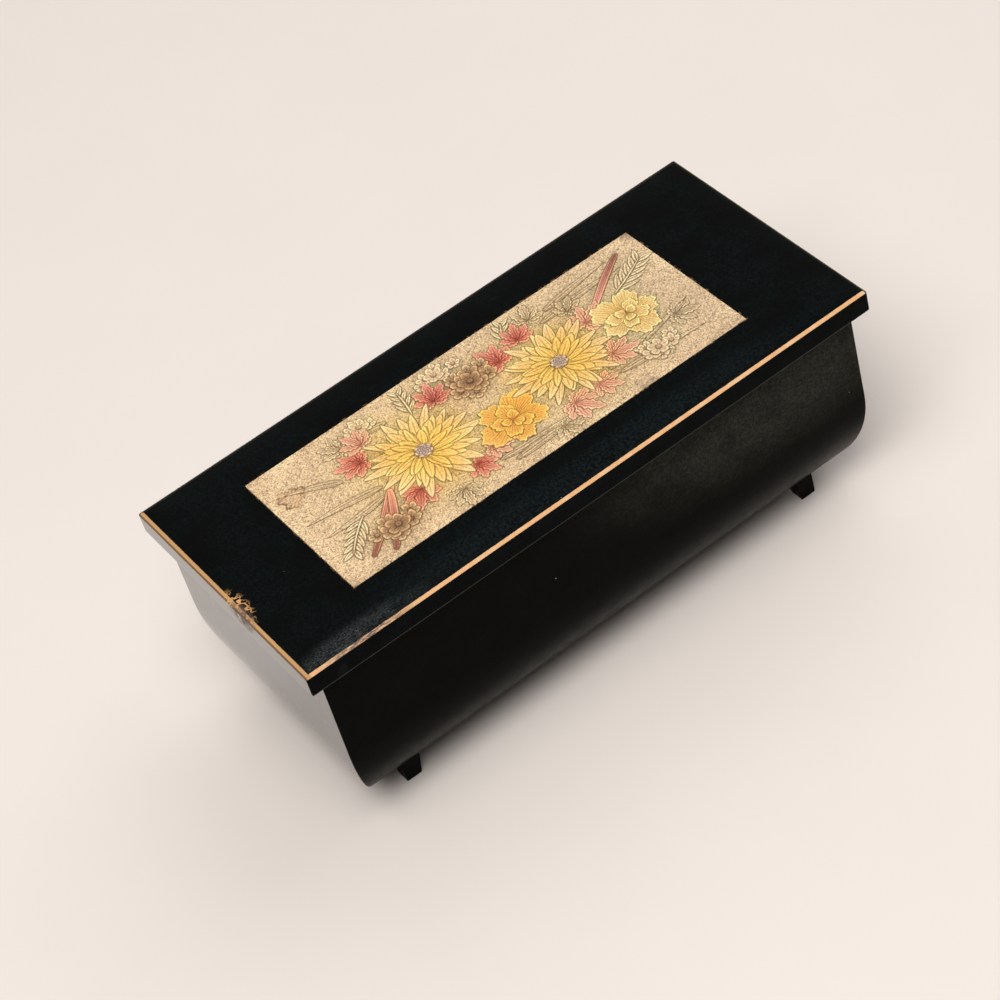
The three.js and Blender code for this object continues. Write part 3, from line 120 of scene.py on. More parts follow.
def make_camera():
    data = adjust(
        bpy.data.cameras.new("camera"), sensor_width=36, lens=CAMERA_LENS, clip_start=0.05, clip_end=20)
    camera = put("camera", data)
    azimuth, elevation = CAMERA_AZIMUTH, CAMERA_ELEVATION
    level = math.cos(elevation)
    back = Vector((math.sin(azimuth) * level, -math.cos(azimuth) * level, math.sin(elevation)))
    flat_right = Vector((math.cos(azimuth), math.sin(azimuth), 0))
    right = math.cos(CAMERA_ROLL) * flat_right + math.sin(CAMERA_ROLL) * back.cross(flat_right)
    turned = Matrix((right, back.cross(right), back)).transposed().to_4x4()
    camera.matrix_world = Matrix.Translation(CAMERA_PLACE) @ turned
    bpy.context.scene.camera = camera


make_camera()


# Materials

class Nodes:
    """Short calls that make and join the nodes of a tree."""

    def __init__(self, tree):
        self.tree = tree

    def feed(self, socket, value):
        if isinstance(value, bpy.types.NodeSocket):
            self.tree.links.new(value, socket)
        else:
            socket.default_value = value

    def node(self, kind, inputs=None, **settings):
        made = adjust(self.tree.nodes.new(kind), **settings)
        for name, value in (inputs or {}).items():
            self.feed(made.inputs[name], value)
        return made

    def sum(self, operation, *values):
        return self.node("ShaderNodeMath", dict(enumerate(values)), operation=operation).outputs[0]

    def chain(self, operation, result, *others):
        for value in others:
            result = self.sum(operation, result, value)
        return result

    def times(self, *values):
        return self.chain("MULTIPLY", *values)

    def least(self, *values):
        return self.chain("MINIMUM", *values)

    def most(self, *values):
        return self.chain("MAXIMUM", *values)

    def minus(self, first, second):
        return self.sum("SUBTRACT", first, second)

    def add_share(self, value, share, base):
        return self.sum("MULTIPLY_ADD", value, share, base)


class Graph(Nodes):
    """A material's nodes. Points and heights are in metres, all other sizes in millimetres."""

    def __init__(self, name, metallic=0.0):
        self.material = bpy.data.materials.new(name)
        self.material.use_nodes = True
        super().__init__(self.material.node_tree)
        self.shader = self.tree.nodes["Principled BSDF"]
        self.set({"Metallic": metallic})
        self.place = self.node("ShaderNodeTexCoord").outputs["Object"]

    def set(self, values):
        for name, value in values.items():
            self.feed(self.shader.inputs[name], value)

    def done(self, colour, roughness, dent=None, specular=0.5):
        """Feeds the shader's main inputs and gives the material back."""
        self.set({"Base Color": colour, "Roughness": roughness, "Specular IOR Level": specular})
        if dent:
            self.set({"Normal": dent})
        return self.material

    def noise(self, size, detail=3.0, roughness=0.55, place=None):
        inputs = {"Scale": 1 / (size * MM), "Detail": detail, "Roughness": roughness}
        inputs["Vector"] = place or self.place
        return self.node("ShaderNodeTexNoise", inputs).outputs["Fac"]

    def streaks(self, sizes, detail, roughness, turn=0.0):
        """Noise with a size of its own along each axis, turned about the upright one."""
        scale = [1 / (size * MM) for size in sizes]
        inputs = {"Vector": self.place, "Rotation": (0, 0, turn), "Scale": scale}
        stretched = self.node("ShaderNodeMapping", inputs).outputs["Vector"]
        return self.noise(1 / MM, detail, roughness, stretched)

    def patches(self, size, detail, roughness, low, high, start=0.0, end=1.0):
        """Blotches of noise that go from start to end where the noise goes from low to high."""
        return self.between(self.noise(size, detail, roughness), low, high, start, end)

    def cells(self, size):
        inputs = {"Vector": self.place, "Scale": 1 / (size * MM)}
        return self.node("ShaderNodeTexVoronoi", inputs).outputs["Distance"]

    def axes(self):
        return self.node("ShaderNodeSeparateXYZ", {"Vector": self.place}).outputs

    def between(self, value, low, high, start=0.0, end=1.0):
        inputs = {"Value": value, "From Min": low, "From Max": high, "To Min": start, "To Max": end}
        return self.node("ShaderNodeMapRange", inputs, interpolation_type="SMOOTHSTEP").outputs["Result"]

    def mix(self, factor, first, second):
        made = self.node("ShaderNodeMix", data_type="RGBA")
        for index, value in ((0, factor), (6, first), (7, second)):
            self.feed(made.inputs[index], value if not isinstance(value, tuple) else (*value, 1))
        return made.outputs[2]

    def cover(self, colour, *layers):
        """Lays colours over one another. Each layer is an amount, its strength and a colour."""
        for amount, strength, above in layers:
            colour = self.mix(amount if strength == 1 else self.times(amount, strength), colour, above)
        return colour

    def bump(self, height, depth, strength=1.0, normal=None):
        inputs = {"Height": height, "Distance": depth * MM, "Strength": strength}
        if normal:
            inputs["Normal"] = normal
        return self.node("ShaderNodeBump", inputs).outputs["Normal"]

    def near(self, point, reach):
        """One at a point, falling to zero at reach = (x, y, z) from it."""
        result = self.place
        for operation, value in (("SUBTRACT", point), ("DIVIDE", [length * MM for length in reach])):
            made = self.node("ShaderNodeVectorMath", {0: result, 1: value}, operation=operation)
            result = made.outputs[0]
        length = self.node("ShaderNodeVectorMath", {0: result}, operation="LENGTH").outputs["Value"]
        return self.between(length, 0.35, 1, 1, 0)

    def end_gloss(self, dull=0.0):
        """The polished ends mirror the floor at a low angle of view, and the other faces are satin."""
        facing = self.node("ShaderNodeLayerWeight", {"Blend": 0.5}).outputs["Facing"]
        normal = self.node("ShaderNodeTexCoord").outputs["Normal"]
        sideways = self.node("ShaderNodeSeparateXYZ", {"Vector": normal}).outputs["X"]
        sideways = self.between(self.sum("ABSOLUTE", sideways), 0.3, 0.8)
        ends = self.times(self.between(facing, 0.44, 0.71), sideways)
        rounding = self.between(facing, 0.5, 0.95, 0, 0.14)
        weight = self.times(self.most(ends, rounding), self.minus(1, dull))
        self.set({"Coat Weight": weight, "Coat IOR": 4.1, "Coat Roughness": 0.08})


# Lacquer, its dirt and its wear, and the sheen, reflection and highlight painted on it
BLACK = (0.0021, 0.0024, 0.002)
SHEEN_BLACK = (0.0045, 0.0075, 0.008)
TEAL_SHEEN = (0.013, 0.019, 0.022)
MOTTLED_BLACK = (0.006, 0.0062, 0.0045)
RUBBED_BLACK = (0.012, 0.011, 0.01)
DUST_AND_REFLECTION_BLACK = (0.042, 0.043, 0.034)
LID_DUST = (0.5, 0.5, 0.47)
CASE_DUST = (0.5, 0.5, 0.46)
BARE_GREY = (0.16, 0.12, 0.105)
ARRIS_HIGHLIGHT_GREY = (0.075, 0.078, 0.07)
SCUFF = (0.155, 0.16, 0.162)
BROWN_STAIN = (0.16, 0.11, 0.08)
GOLD_SIZE = (0.3, 0.17, 0.06)
CHIP_GOLD = (0.78, 0.4, 0.14)

# The painted line
STRIPE_GOLD = (0.8, 0.43, 0.2)
STRIPE_PALE = (0.84, 0.52, 0.28)
STRIPE_SHADE = (0.58, 0.33, 0.145)
STRIPE_EDGE = (0.16, 0.075, 0.035)
STRIPE_DULL = (0.1, 0.09, 0.05)

# Velvet, glass and plastic
VELVET_RED = (0.19, 0.006, 0.014)
VELVET_BRUSHED = (0.27, 0.012, 0.024)
VELVET_DEPTH = (0.06, 0.002, 0.005)
VELVET_SHEEN = (0.9, 0.16, 0.2, 1)
SILVER = (0.9, 0.92, 0.92)
AGED_SILVER = (0.55, 0.54, 0.5)
CLEAR_TINT = (0.97, 0.985, 0.98, 1)
CLEAR_SHADE = (0.95, 0.97, 0.96, 1)


def specks(graph, size, share):
    """Dust: small round spots, one in a few cells of the given size."""
    return graph.between(graph.cells(size), share, share * 1.5, 1, 0)


def scratches(graph, turn, length, width):
    return graph.between(graph.streaks((length, width, length), 2, 0.5, turn), 0.71, 0.76)


def gold_line(graph):
    """Where the painted line runs along the lid's top edge, and its colour on each side."""
    x, y, z = graph.axes()
    front, left, right, back = (
        graph.sum("DIVIDE", graph.add_share(axis, way, half), width * MM)
        for axis, way, half, width in (
            (y, 1, LID_HALF.y, 1.42), (x, 1, LID_HALF.x, 1.65), (x, -1, LID_HALF.x, 0.5),
            (y, -1, LID_HALF.y, 0.45)))
    ragged = graph.add_share(graph.noise(1.2, 4), 0.2, graph.least(front, back, left, right))
    above = graph.between(z, LID_SHOULDER - 0.06 * MM, LID_SHOULDER + 0.01 * MM)
    line = graph.times(graph.between(ragged, 1.06, 1.16, 1, 0), above)
    return line, graph.cover(
        STRIPE_GOLD,
        (graph.patches(3, 4, 0.55, 0.35, 0.7), 1, STRIPE_PALE),
        (graph.between(left, 1.2, 1.4, 1, 0), 1, STRIPE_SHADE),
        (graph.between(left, 0.3, 0.42, 0.85, 0), 1, STRIPE_EDGE),
        (graph.between(graph.least(right, back), 1.3, 1.6, 1, 0), 1, STRIPE_DULL))


def outside(graph, low, high):
    """How far a point lies outside an upright block, or inside it as a negative length."""
    centre, half = (low + high) / 2, (high - low) / 2
    places = graph.axes()
    return graph.most(*(
        graph.minus(graph.sum("ABSOLUTE", graph.minus(places[axis], centre[axis])), half[axis])
        for axis in (0, 1)))


def panel_smears(graph):
    """Gold size that has crept out round the panel."""
    rim = graph.between(outside(graph, *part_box("picture_panel")), 0.3 * MM, 0.8 * MM, 1, 0)
    return graph.times(rim, graph.patches(2.4, 5, 0.7, 0.54, 0.62))


def lid_lacquer():
    """Gloss black with a teal sheen painted in faint clouds and along the front, a painted highlight on
    the lower edge, a painted gold edge, a scuffed corner and a chipped place.
    """
    graph = Graph("lid_lacquer")
    left, front, edge = -LID_HALF.x, -LID_HALF.y, LID_SHOULDER
    height = graph.axes()["Z"]

    # Faint teal clouds of painted sheen over the black
    cloud = graph.times(graph.patches(17, 3, 0.6, 0.34, 0.62, 0.3, 1),
                        graph.patches(0.8, 4, 0.8, 0.38, 0.64))
    # A teal band of painted sheen along the front bevel
    painted_sheen_band = graph.times(graph.near((0, front + 6 * MM, LID_HIGH.z), (130, 9, 9)),
                       graph.patches(1.1, 5, 0.8, 0.4, 0.66))
    haze = graph.times(graph.near((left + 20 * MM, front + 3.2 * MM, LID_HIGH.z), (36, 7, 9)),
                       graph.between(graph.streaks((0.9, 0.45, 1), 5, 0.85), 0.42, 0.68),
                       graph.between(height, edge - 0.3 * MM, edge + 0.1 * MM),
                       graph.patches(7, 3, 0.7, 0.36, 0.6, 0.35, 1))
    lines = graph.most(scratches(graph, 0.7, 14, 0.3), scratches(graph, -0.3, 22, 0.3))

    # The painted line, with streaks worn through it at the front left
    line, paint = gold_line(graph)
    worn = graph.times(graph.near((left + 24 * MM, front, edge), (22, 4, 4)),
                       graph.between(graph.streaks((4, 0.5, 4), 5, 0.8), 0.42, 0.52))

    # A thin paler line painted along the lower edge: a painted highlight on the arris
    arris_highlight = graph.times(graph.between(outside(graph, LID_LOW, LID_HIGH), -0.6 * MM, -0.4 * MM),
                        graph.between(height, LID_LOW.z + 0.4 * MM, LID_LOW.z + 0.6 * MM, 1, 0))

    # Gold size shows where the lacquer has flaked beside the left edge, and a brown stain lies below
    blots = graph.noise(2.6, 3, 0.5)
    chip = graph.times(graph.near((left + 1.6 * MM, -10 * MM, edge), (4.2, 11.5, 4)),
                       graph.between(blots, 0.49, 0.52), graph.between(blots, 0.57, 0.6, 1, 0))
    stain = graph.times(graph.near((left, -13 * MM, edge - 1 * MM), (4, 10, 6)),
                        graph.patches(2.2, 4, 0.7, 0.36, 0.54), 0.95)

    colour = graph.cover(
        BLACK, (cloud, 1, SHEEN_BLACK), (painted_sheen_band, 0.7, TEAL_SHEEN), (haze, 0.5, SCUFF), (lines, 0.03, SCUFF),
        (specks(graph, 13, 0.016), 0.6, LID_DUST), (panel_smears(graph), 0.6, GOLD_SIZE),
        (line, 1, graph.mix(worn, paint, BARE_GREY)), (arris_highlight, 0.9, ARRIS_HIGHLIGHT_GREY), (chip, 1, CHIP_GOLD),
        (stain, 1, BROWN_STAIN))
    rough = graph.add_share(haze, 0.35, graph.patches(5, 5, 0.7, 0.3, 0.75, 0.1, 0.24))
    rough = graph.add_share(lines, 0.15, graph.most(rough, graph.times(line, 0.5)))
    peel = graph.bump(graph.noise(3.5, 2), 0.012)
    dent = graph.bump(graph.most(line, chip), 0.03, 1.0, peel)
    graph.end_gloss(graph.most(stain, line))
    return graph.done(colour, rough, dent, 0.016)


def case_lacquer():
    """Satin black, with dust in mottles, and high on the right of the front a paler patch that is dust
    and a painted reflection.
    """
    graph = Graph("case_lacquer")
    fine, broad = graph.patches(0.9, 5, 0.9, 0.4, 0.62), graph.patches(13, 5, 0.75, 0.34, 0.62)
    # Paler high on the right of the front, fading downwards: dust mottle and a painted reflection
    dust_and_reflection = graph.times(graph.near((78 * MM, CASE_LOW.y, 73 * MM), (100, 10, 38)),
                         graph.between(broad, 0, 1, 0.6, 1), graph.between(fine, 0, 1, 0.35, 1))
    colour = graph.cover(
        BLACK, (graph.times(broad, fine), 0.5, MOTTLED_BLACK), (dust_and_reflection, 1, DUST_AND_REFLECTION_BLACK),
        (specks(graph, 14, 0.016), 0.7, CASE_DUST))
    graph.end_gloss()
    rough = graph.patches(5, 6, 0.65, 0.3, 0.75, 0.26, 0.42)
    return graph.done(colour, rough, graph.bump(graph.noise(1.4), 0.012), 0.02)


def foot_lacquer():
    graph = Graph("foot_lacquer")
    colour = graph.mix(graph.patches(3, 4, 0.55, 0.55, 0.75), BLACK, RUBBED_BLACK)
    rough = graph.patches(2, 4, 0.55, 0.3, 0.7, 0.3, 0.5)
    return graph.done(colour, rough, graph.bump(graph.noise(1), 0.02), 0.03)


def foil():
    """Embossed foil, tinted by the picture's own colours and its painted highlights and shade, with a
    fine grain.
    """
    graph = Graph("foil", 0.12)
    tint = graph.node("ShaderNodeVertexColor", layer_name="tint").outputs["Color"]
    grain = graph.patches(0.35, 3, 0.8, 0.3, 0.7, 0.86, 1.12)
    tinted = graph.node("ShaderNodeVectorMath", {0: tint, "Scale": grain}, operation="SCALE")
    rough = graph.patches(0.8, 3, 0.55, 0.3, 0.7, 0.34, 0.52)
    return graph.done(tinted.outputs["Vector"], rough, graph.bump(graph.noise(0.35, 3, 0.7), 0.05))


def velvet():
    """Deep red pile that lightens where it has been brushed the other way."""
    graph = Graph("velvet")
    brushed = graph.between(graph.streaks((26, 9, 9), 5, 0.6, 0.5), 0.4, 0.66)
    pile = graph.noise(0.5, 3, 0.8)
    depth = graph.between(pile, 0.35, 0.65, 0.6, 0)
    colour = graph.cover(VELVET_RED, (brushed, 1, VELVET_BRUSHED), (depth, 1, VELVET_DEPTH))
    graph.set({"Sheen Weight": 0.3, "Sheen Roughness": 0.4, "Sheen Tint": VELVET_SHEEN})
    return graph.done(colour, 0.85, graph.bump(pile, 0.15, 0.8), 0.1)


def metal(name, light, dark, roughness, grain_sizes):
    """A turned or rolled metal: fine grain, longer along y where it is rolled, and a little tarnish."""
    graph = Graph(name, 1)
    grain = graph.streaks(grain_sizes, 3, 0.6)
    colour = graph.mix(graph.patches(7, 5, 0.65, 0.4, 0.75), light, dark)
    rough = graph.between(grain, 0.3, 0.7, roughness * 0.75, roughness * 1.35)
    return graph.done(colour, rough, graph.bump(grain, 0.01))


def clear_sheet():
    """Clear plastic, a little smeared, that lets the lamps shine through to the movement."""
    graph = Graph("clear_sheet")
    smear = graph.patches(14, 4, 0.7, 0.5, 0.8, 0.01, 0.05)
    rough = graph.add_share(scratches(graph, 0.5, 16, 0.2), 0.08, smear)
    graph.set({"Transmission Weight": 1, "IOR": 1.06})
    material = graph.done(CLEAR_TINT, rough)
    paths = graph.node("ShaderNodeLightPath").outputs
    passes = graph.most(paths["Is Shadow Ray"], paths["Is Diffuse Ray"])
    open_air = graph.node("ShaderNodeBsdfTransparent", {"Color": CLEAR_SHADE})
    inputs = {0: passes, 1: graph.shader.outputs[0], 2: open_air.outputs[0]}
    mixed = graph.node("ShaderNodeMixShader", inputs).outputs[0]
    graph.feed(graph.tree.nodes["Material Output"].inputs["Surface"], mixed)
    return material


def silvered_glass():
    graph = Graph("silvered_glass", 1)
    colour = graph.cover(SILVER, (graph.patches(5, 5, 0.7, 0.66, 0.76), 0.25, AGED_SILVER))
    return graph.done(colour, graph.patches(20, 4, 0.55, 0.45, 0.8, 0.006, 0.05))


LID_LACQUER = lid_lacquer()
CASE_LACQUER = case_lacquer()
FOOT_LACQUER = foot_lacquer()
FOIL = foil()
VELVET = velvet()
BRASS = metal("brass", (0.78, 0.56, 0.22), (0.5, 0.33, 0.12), 0.24, (0.4, 0.4, 0.4))
STEEL = metal("steel", (0.62, 0.63, 0.65), (0.4, 0.4, 0.41), 0.27, (0.5, 0.5 / 0.12, 0.5))
ZINC = metal("zinc", (0.5, 0.5, 0.51), (0.33, 0.33, 0.34), 0.48, (0.7, 0.7, 0.7))
CLEAR = clear_sheet()
MIRROR = silvered_glass()


# Mesh builders

CORNER_STEPS = 4


def add_object(name, mesh, material, body, replaced):
    mesh.materials.append(material)
    piece = put(name, mesh)
    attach(piece, body)
    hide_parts(replaced)
    return piece


def mesh_of(name, points, faces):
    mesh = bpy.data.meshes.new(name)
    mesh.from_pydata(points, [], faces)
    mesh.update()
    return mesh


def ring(low_x, high_x, low_y, high_y, z, radius, counts):
    """An oblong ring with round corners, counterclockwise from the front left."""
    points = []
    corners = ((high_x, low_y, -0.5), (high_x, high_y, 0), (low_x, high_y, 0.5), (low_x, low_y, 1))
    for side, (cx, cy, turn) in enumerate(corners):
        sx, sy, _ = corners[side - 1]
        length = math.hypot(cx - sx, cy - sy)
        along = ((cx - sx) / length, (cy - sy) / length)
        margin = min(1.5 * MM, length / 8)
        count = counts[side % 2]
        near, far = radius + margin, length - radius - margin
        for i in range(count + 1):
            away = near + (far - near) * i / count
            points.append((sx + along[0] * away, sy + along[1] * away, z))
        centre_x = cx - radius if cx == high_x else cx + radius
        centre_y = cy + radius if cy == low_y else cy - radius
        for i in range(CORNER_STEPS + 1):
            angle = math.pi * (turn + 0.5 * i / CORNER_STEPS)
            points.append((centre_x + radius * math.cos(angle), centre_y + radius * math.sin(angle), z))
    return points


def inset_ring(box, inset, z, radius):
    """A ring round an upright block, drawn in by inset, or out where that is negative."""
    low, high = box
    return ring(low.x + inset, high.x - inset, low.y + inset, high.y - inset, z, radius, PLAIN_SIDES)


def loft(name, rings, close=False):
    """Joins rings of equal length. Ends are capped, or the last ring joins the first."""
    size = len(rings[0])
    points = [point for one in rings for point in one]
    faces = []
    spans = len(rings) if close else len(rings) - 1
    for level in range(spans):
        low, high = level * size, (level + 1) % len(rings) * size
        for i in range(size):
            k = (i + 1) % size
            faces.append((low + i, low + k, high + k, high + i))
    if not close:
        faces.append(tuple(reversed(range(size))))
        faces.append(tuple(range(len(points) - size, len(points))))
    return mesh_of(name, points, faces)


def smooth(piece, degrees):
    mesh = piece.data
    mesh.shade_smooth()
    mesh.set_sharp_from_angle(angle=math.radians(degrees))
    modify(piece, "even_normals", "WEIGHTED_NORMAL", keep_sharp=True)


def block_mesh(low, high):
    made = bmesh.new()
    bmesh.ops.create_cube(made, size=1)
    centre, size = (Vector(low) + Vector(high)) / 2, Vector(high) - Vector(low)
    bmesh.ops.scale(made, verts=made.verts, vec=size)
    bmesh.ops.translate(made, verts=made.verts, vec=centre)
    return made


def round_mesh(radius, low_z, high_z, centre, sides=48):
    made = bmesh.new()
    bmesh.ops.create_cone(
        made, cap_ends=True, segments=sides, radius1=radius, radius2=radius, depth=high_z - low_z)
    bmesh.ops.translate(made, verts=made.verts, vec=(centre.x, centre.y, (low_z + high_z) / 2))
    return made


def cut(piece, tools):
    """Takes the tools' solids away from a piece and keeps the result as its mesh."""
    cutters = []
    for index, tool in enumerate(tools):
        mesh = bpy.data.meshes.new(f"cutter_{index}")
        tool.to_mesh(mesh)
        tool.free()
        cutter = put(f"cutter_{index}", mesh)
        modify(piece, f"cut_{index}", "BOOLEAN", object=cutter, operation="DIFFERENCE", solver="EXACT")
        cutters.append(cutter)
    keep_result(piece)
    for cutter in cutters:
        bpy.data.objects.remove(cutter)


def keep_result(piece):
    """Applies a piece's modifiers to its mesh."""
    bpy.context.view_layer.update()
    result = bpy.data.meshes.new_from_object(piece.evaluated_get(bpy.context.evaluated_depsgraph_get()))
    piece.modifiers.clear()
    piece.data = result


def arc(steps):
    """Sine and cosine pairs of a quarter turn."""
    turns = [math.pi / 2 * i / steps for i in range(steps + 1)]
    return [(math.sin(turn), math.cos(turn)) for turn in turns]


# Hinge hollows

def hinge_hollows(face_z, side):
    """Seats for both hinges' leaves and barrels in the case (side -1) or the lid (side 1)."""
    tools = []
    for hand in ("left", "right"):
        low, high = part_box(f"hinge_case_leaf_{hand}")
        pin_low, pin_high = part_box(f"hinge_pin_{hand}")
        pin = (pin_low + pin_high) / 2
        bottom, top = sorted((face_z - side * LEAF_SEAT_DEPTH, face_z + side * MM))
        left, right, back = low.x - GAP, high.x + GAP, high.y + 20 * MM
        tools.append(block_mesh((left, low.y - GAP, bottom), (right, back, top)))
        barrel = (left, pin.y - HINGE_REACH, pin.z - HINGE_REACH)
        tools.append(block_mesh(barrel, (right, back, pin.z + HINGE_REACH)))
    return tools


# Lid

BEVEL_STEPS = 14


def lid_rings():
    """Levels of the lid, from the recess under it, round its outside, to the panel's seat on top."""
    board, card, panel = (LID_LOW, LID_HIGH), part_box("lid_lining"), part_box("picture_panel")
    ceiling, seat, top = card[1].z + GAP, panel[0].z - GAP, LID_HIGH.z
    levels = [
        (card, 1 * MM - GAP, ceiling, 0.4 * MM),
        (card, -GAP, ceiling, 0.5 * MM),
        (card, -GAP, LID_LOW.z + 0.3 * MM, 0.5 * MM),
        (card, -GAP - 0.3 * MM, LID_LOW.z, 0.6 * MM),
        (board, 1.5 * MM, LID_LOW.z, LID_CORNER),
    ]
    outer = [(LID_ARRIS * (1 - sine), LID_LOW.z + LID_ARRIS * (1 - cosine)) for sine, cosine in arc(3)]
    outer += [
        (0, LID_LOW.z + 1.2 * MM),
        (0, LID_SHOULDER - 0.6 * MM),
        (0, LID_SHOULDER - 0.1 * MM),
        (0.06 * MM, LID_SHOULDER),
        (STRIPE_WIDTH - 0.15 * MM, LID_SHOULDER + STRIPE_RISE - 0.03 * MM),
    ]
    rise = top - LID_SHOULDER - STRIPE_RISE
    for share in (i / BEVEL_STEPS for i in range(BEVEL_STEPS + 1)):
        inset = STRIPE_WIDTH + (BEVEL_WIDTH - STRIPE_WIDTH) * share
        outer.append((inset, LID_SHOULDER + STRIPE_RISE + rise * (1 - (1 - share) ** 2)))
    levels += [(board, inset, z, LID_CORNER) for inset, z in outer]
    levels += [
        (panel, -1.2 * MM, top, 0.6 * MM),
        (panel, -0.3 * MM, top, 0.4 * MM),
        (panel, -0.15 * MM, top - 0.12 * MM, 0.3 * MM),
        (panel, -0.15 * MM, seat, 0.3 * MM),
        (panel, 1 * MM, seat, 0.3 * MM),
    ]
    return [inset_ring(*level) for level in levels]


def make_lid():
    mesh = loft("lid_finished", lid_rings())
    lid = add_object("lid_finished", mesh, LID_LACQUER, "lid", "lid_board")
    cut(lid, hinge_hollows(LID_LOW.z, 1))
    smooth(lid, 30)


# Case

def tub_ring(inset, rise, drop, radius, counts, z=None, right=None):
    """A level of the tub, drawn in by inset and up by rise, from drop 0 (bottom) to 1 (walls)."""
    height = ROUNDING_HEIGHT - rise
    bottom = CASE_LOW.z + rise
    share = 1 - drop
    drawn = 1 - math.sqrt(max(0.0, 1 - share * share))
    half_x = CASE_HALF.x - inset - (END_ROUNDING - inset) * drawn
    half_y = CASE_HALF.y - inset - (SIDE_ROUNDING - inset) * drawn
    high_x = half_x if right is None else right
    level = bottom + height * drop if z is None else z
    middle = CASE_MIDDLE.y
    return ring(-half_x, high_x, middle - half_y, middle + half_y, level, radius, counts)


def falling(steps):
    """Levels of a quarter ellipse from 0 to 1, closest together near the flat bottom."""
    return [1 - math.cos(math.pi / 2 * i / steps) for i in range(steps + 1)]


def case_rings():
    """Levels of the case, from its flat bottom up the outside, over the rim and down to the floor."""
    rim = CASE_HIGH.z
    levels = [(0, rim - 20 * MM), (0, rim - 1.5 * MM)]
    levels += [(CASE_ARRIS * (1 - cosine), rim - CASE_ARRIS * (1 - sine)) for sine, cosine in arc(3)]
    levels += [(WALL - 0.5 * MM, rim), (WALL, rim - 0.4 * MM), (WALL, rim - 3 * MM)]
    outside_rounding = [tub_ring(0, 0, drop, CASE_CORNER, PLAIN_SIDES) for drop in falling(26)]
    walls = [tub_ring(inset, 0, 1, CASE_CORNER, PLAIN_SIDES, z) for inset, z in levels]
    inside_rounding = [tub_ring(WALL, FLOOR, drop, CASE_CORNER, PLAIN_SIDES) for drop in falling(20)]
    return outside_rounding + walls + inside_rounding[::-1]


def make_case():
    mesh = loft("case_finished", case_rings())
    case = add_object("case_finished", mesh, CASE_LACQUER, "case", "case_shell")
    below, above = CASE_LOW.z - 5 * MM, CASE_LOW.z + FLOOR + 5 * MM
    key_low, key_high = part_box("winding_key")
    tools = [round_mesh(KEY_WELL_RADIUS, below, above, (key_low + key_high) / 2)]
    for number in (1, 2, 3):
        low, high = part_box(f"movement_screw_{number}")
        radius = (high.x - low.x) / 2 + GAP
        tools.append(round_mesh(radius, below, CASE_LOW.z + SCREW_SINK, (low + high) / 2, 32))
    cut(case, tools + hinge_hollows(CASE_HIGH.z, -1))
    smooth(case, 30)


# Picture panel: a relief of generic flowers, drawn as a height, a wash of colour and ink lines on a grid

FOIL_TINT = np.array((0.755, 0.52, 0.298))
YELLOW = np.array((0.95, 0.5, 0.1))
PALE_YELLOW = np.array((0.96, 0.67, 0.26))
AMBER = np.array((0.9, 0.36, 0.04))
ROSE = np.array((0.56, 0.09, 0.06))
PINK = np.array((0.88, 0.36, 0.24))
BROWN = np.array((0.16, 0.075, 0.035))
BRONZE = np.array((0.78, 0.53, 0.27))
RUSSET = np.array((0.42, 0.13, 0.07))
INK = np.array((0.11, 0.065, 0.035))  # what a full ink line leaves of the colour under it
DAISY_WASH = np.array((1.26, 1.1, 0.38))
DAISY_SHADE = np.array((1.05, 0.86, 0.55))
HEART_BROWN = np.array((0.72, 0.52, 0.38))
DARK_WASH = np.array((0.5, 0.36, 0.28))
DIM_WASH = np.array((0.55, 0.4, 0.31))
COOL_WASH = np.array((0.86, 0.89, 0.92))
DAMP = np.array((0.24, 0.34, 0.42))  # what a damp mark takes from each colour

# Sizes in the picture are in millimetres, and inks are shares of full ink
LINE_REACH = 0.16
VEIN_REACH = 0.19
RAY_REACH = 0.16
OUTLINE_INK = 0.92
VEIN_INK = 0.8
OUTLINE_GROOVE = 0.12
VEIN_GROOVE = 0.08
# Where the painted highlight line lies inside an outline, and its width
GLINT_INSET = 0.5
GLINT_REACH = 0.26
GOLDEN_TURN = 2.4  # between one small flower and the next round a cluster
BLOSSOM_PETALS = 5
GRID_STEP = 0.2
STIPPLE_SEED = 11

# How each thing lightens or darkens the foil, some of it painted highlight and shade
RIDGE_LIGHT_AND_HOLLOW_SHADE = 3.6
GLINT_SHADE = 0.62
DIRT_AND_SHADOW_SHADE = 0.42
CLOUD_SHADE = 0.04
FINE_STIPPLE = 0.27
COARSE_STIPPLE = 0.12


def box_blur(values, reach):
    """A running mean over a square, by sums along each axis."""
    reach = max(1, round(reach))
    for axis in (0, 1):
        size = values.shape[axis]
        ahead = np.take(values, [0] * (reach + 1), axis)
        behind = np.take(values, [-1] * reach, axis)
        sums = np.cumsum(np.concatenate([ahead, values, behind], axis), axis)
        high = np.take(sums, range(2 * reach + 1, 2 * reach + 1 + size), axis)
        values = (high - np.take(sums, range(size), axis)) / (2 * reach + 1)
    return values


def ridge(distance, reach):
    return np.exp(-((distance / reach) ** 2))


def off_line(share, count):
    """How far a share of a petal's width is from the nearest of its lines, where they lie one apart."""
    place = share * count / 2
    return np.abs(place - np.round(place))


def blend(colours, share):
    near, far = colours
    share = share[..., None]
    return near * (1 - share) + far * share


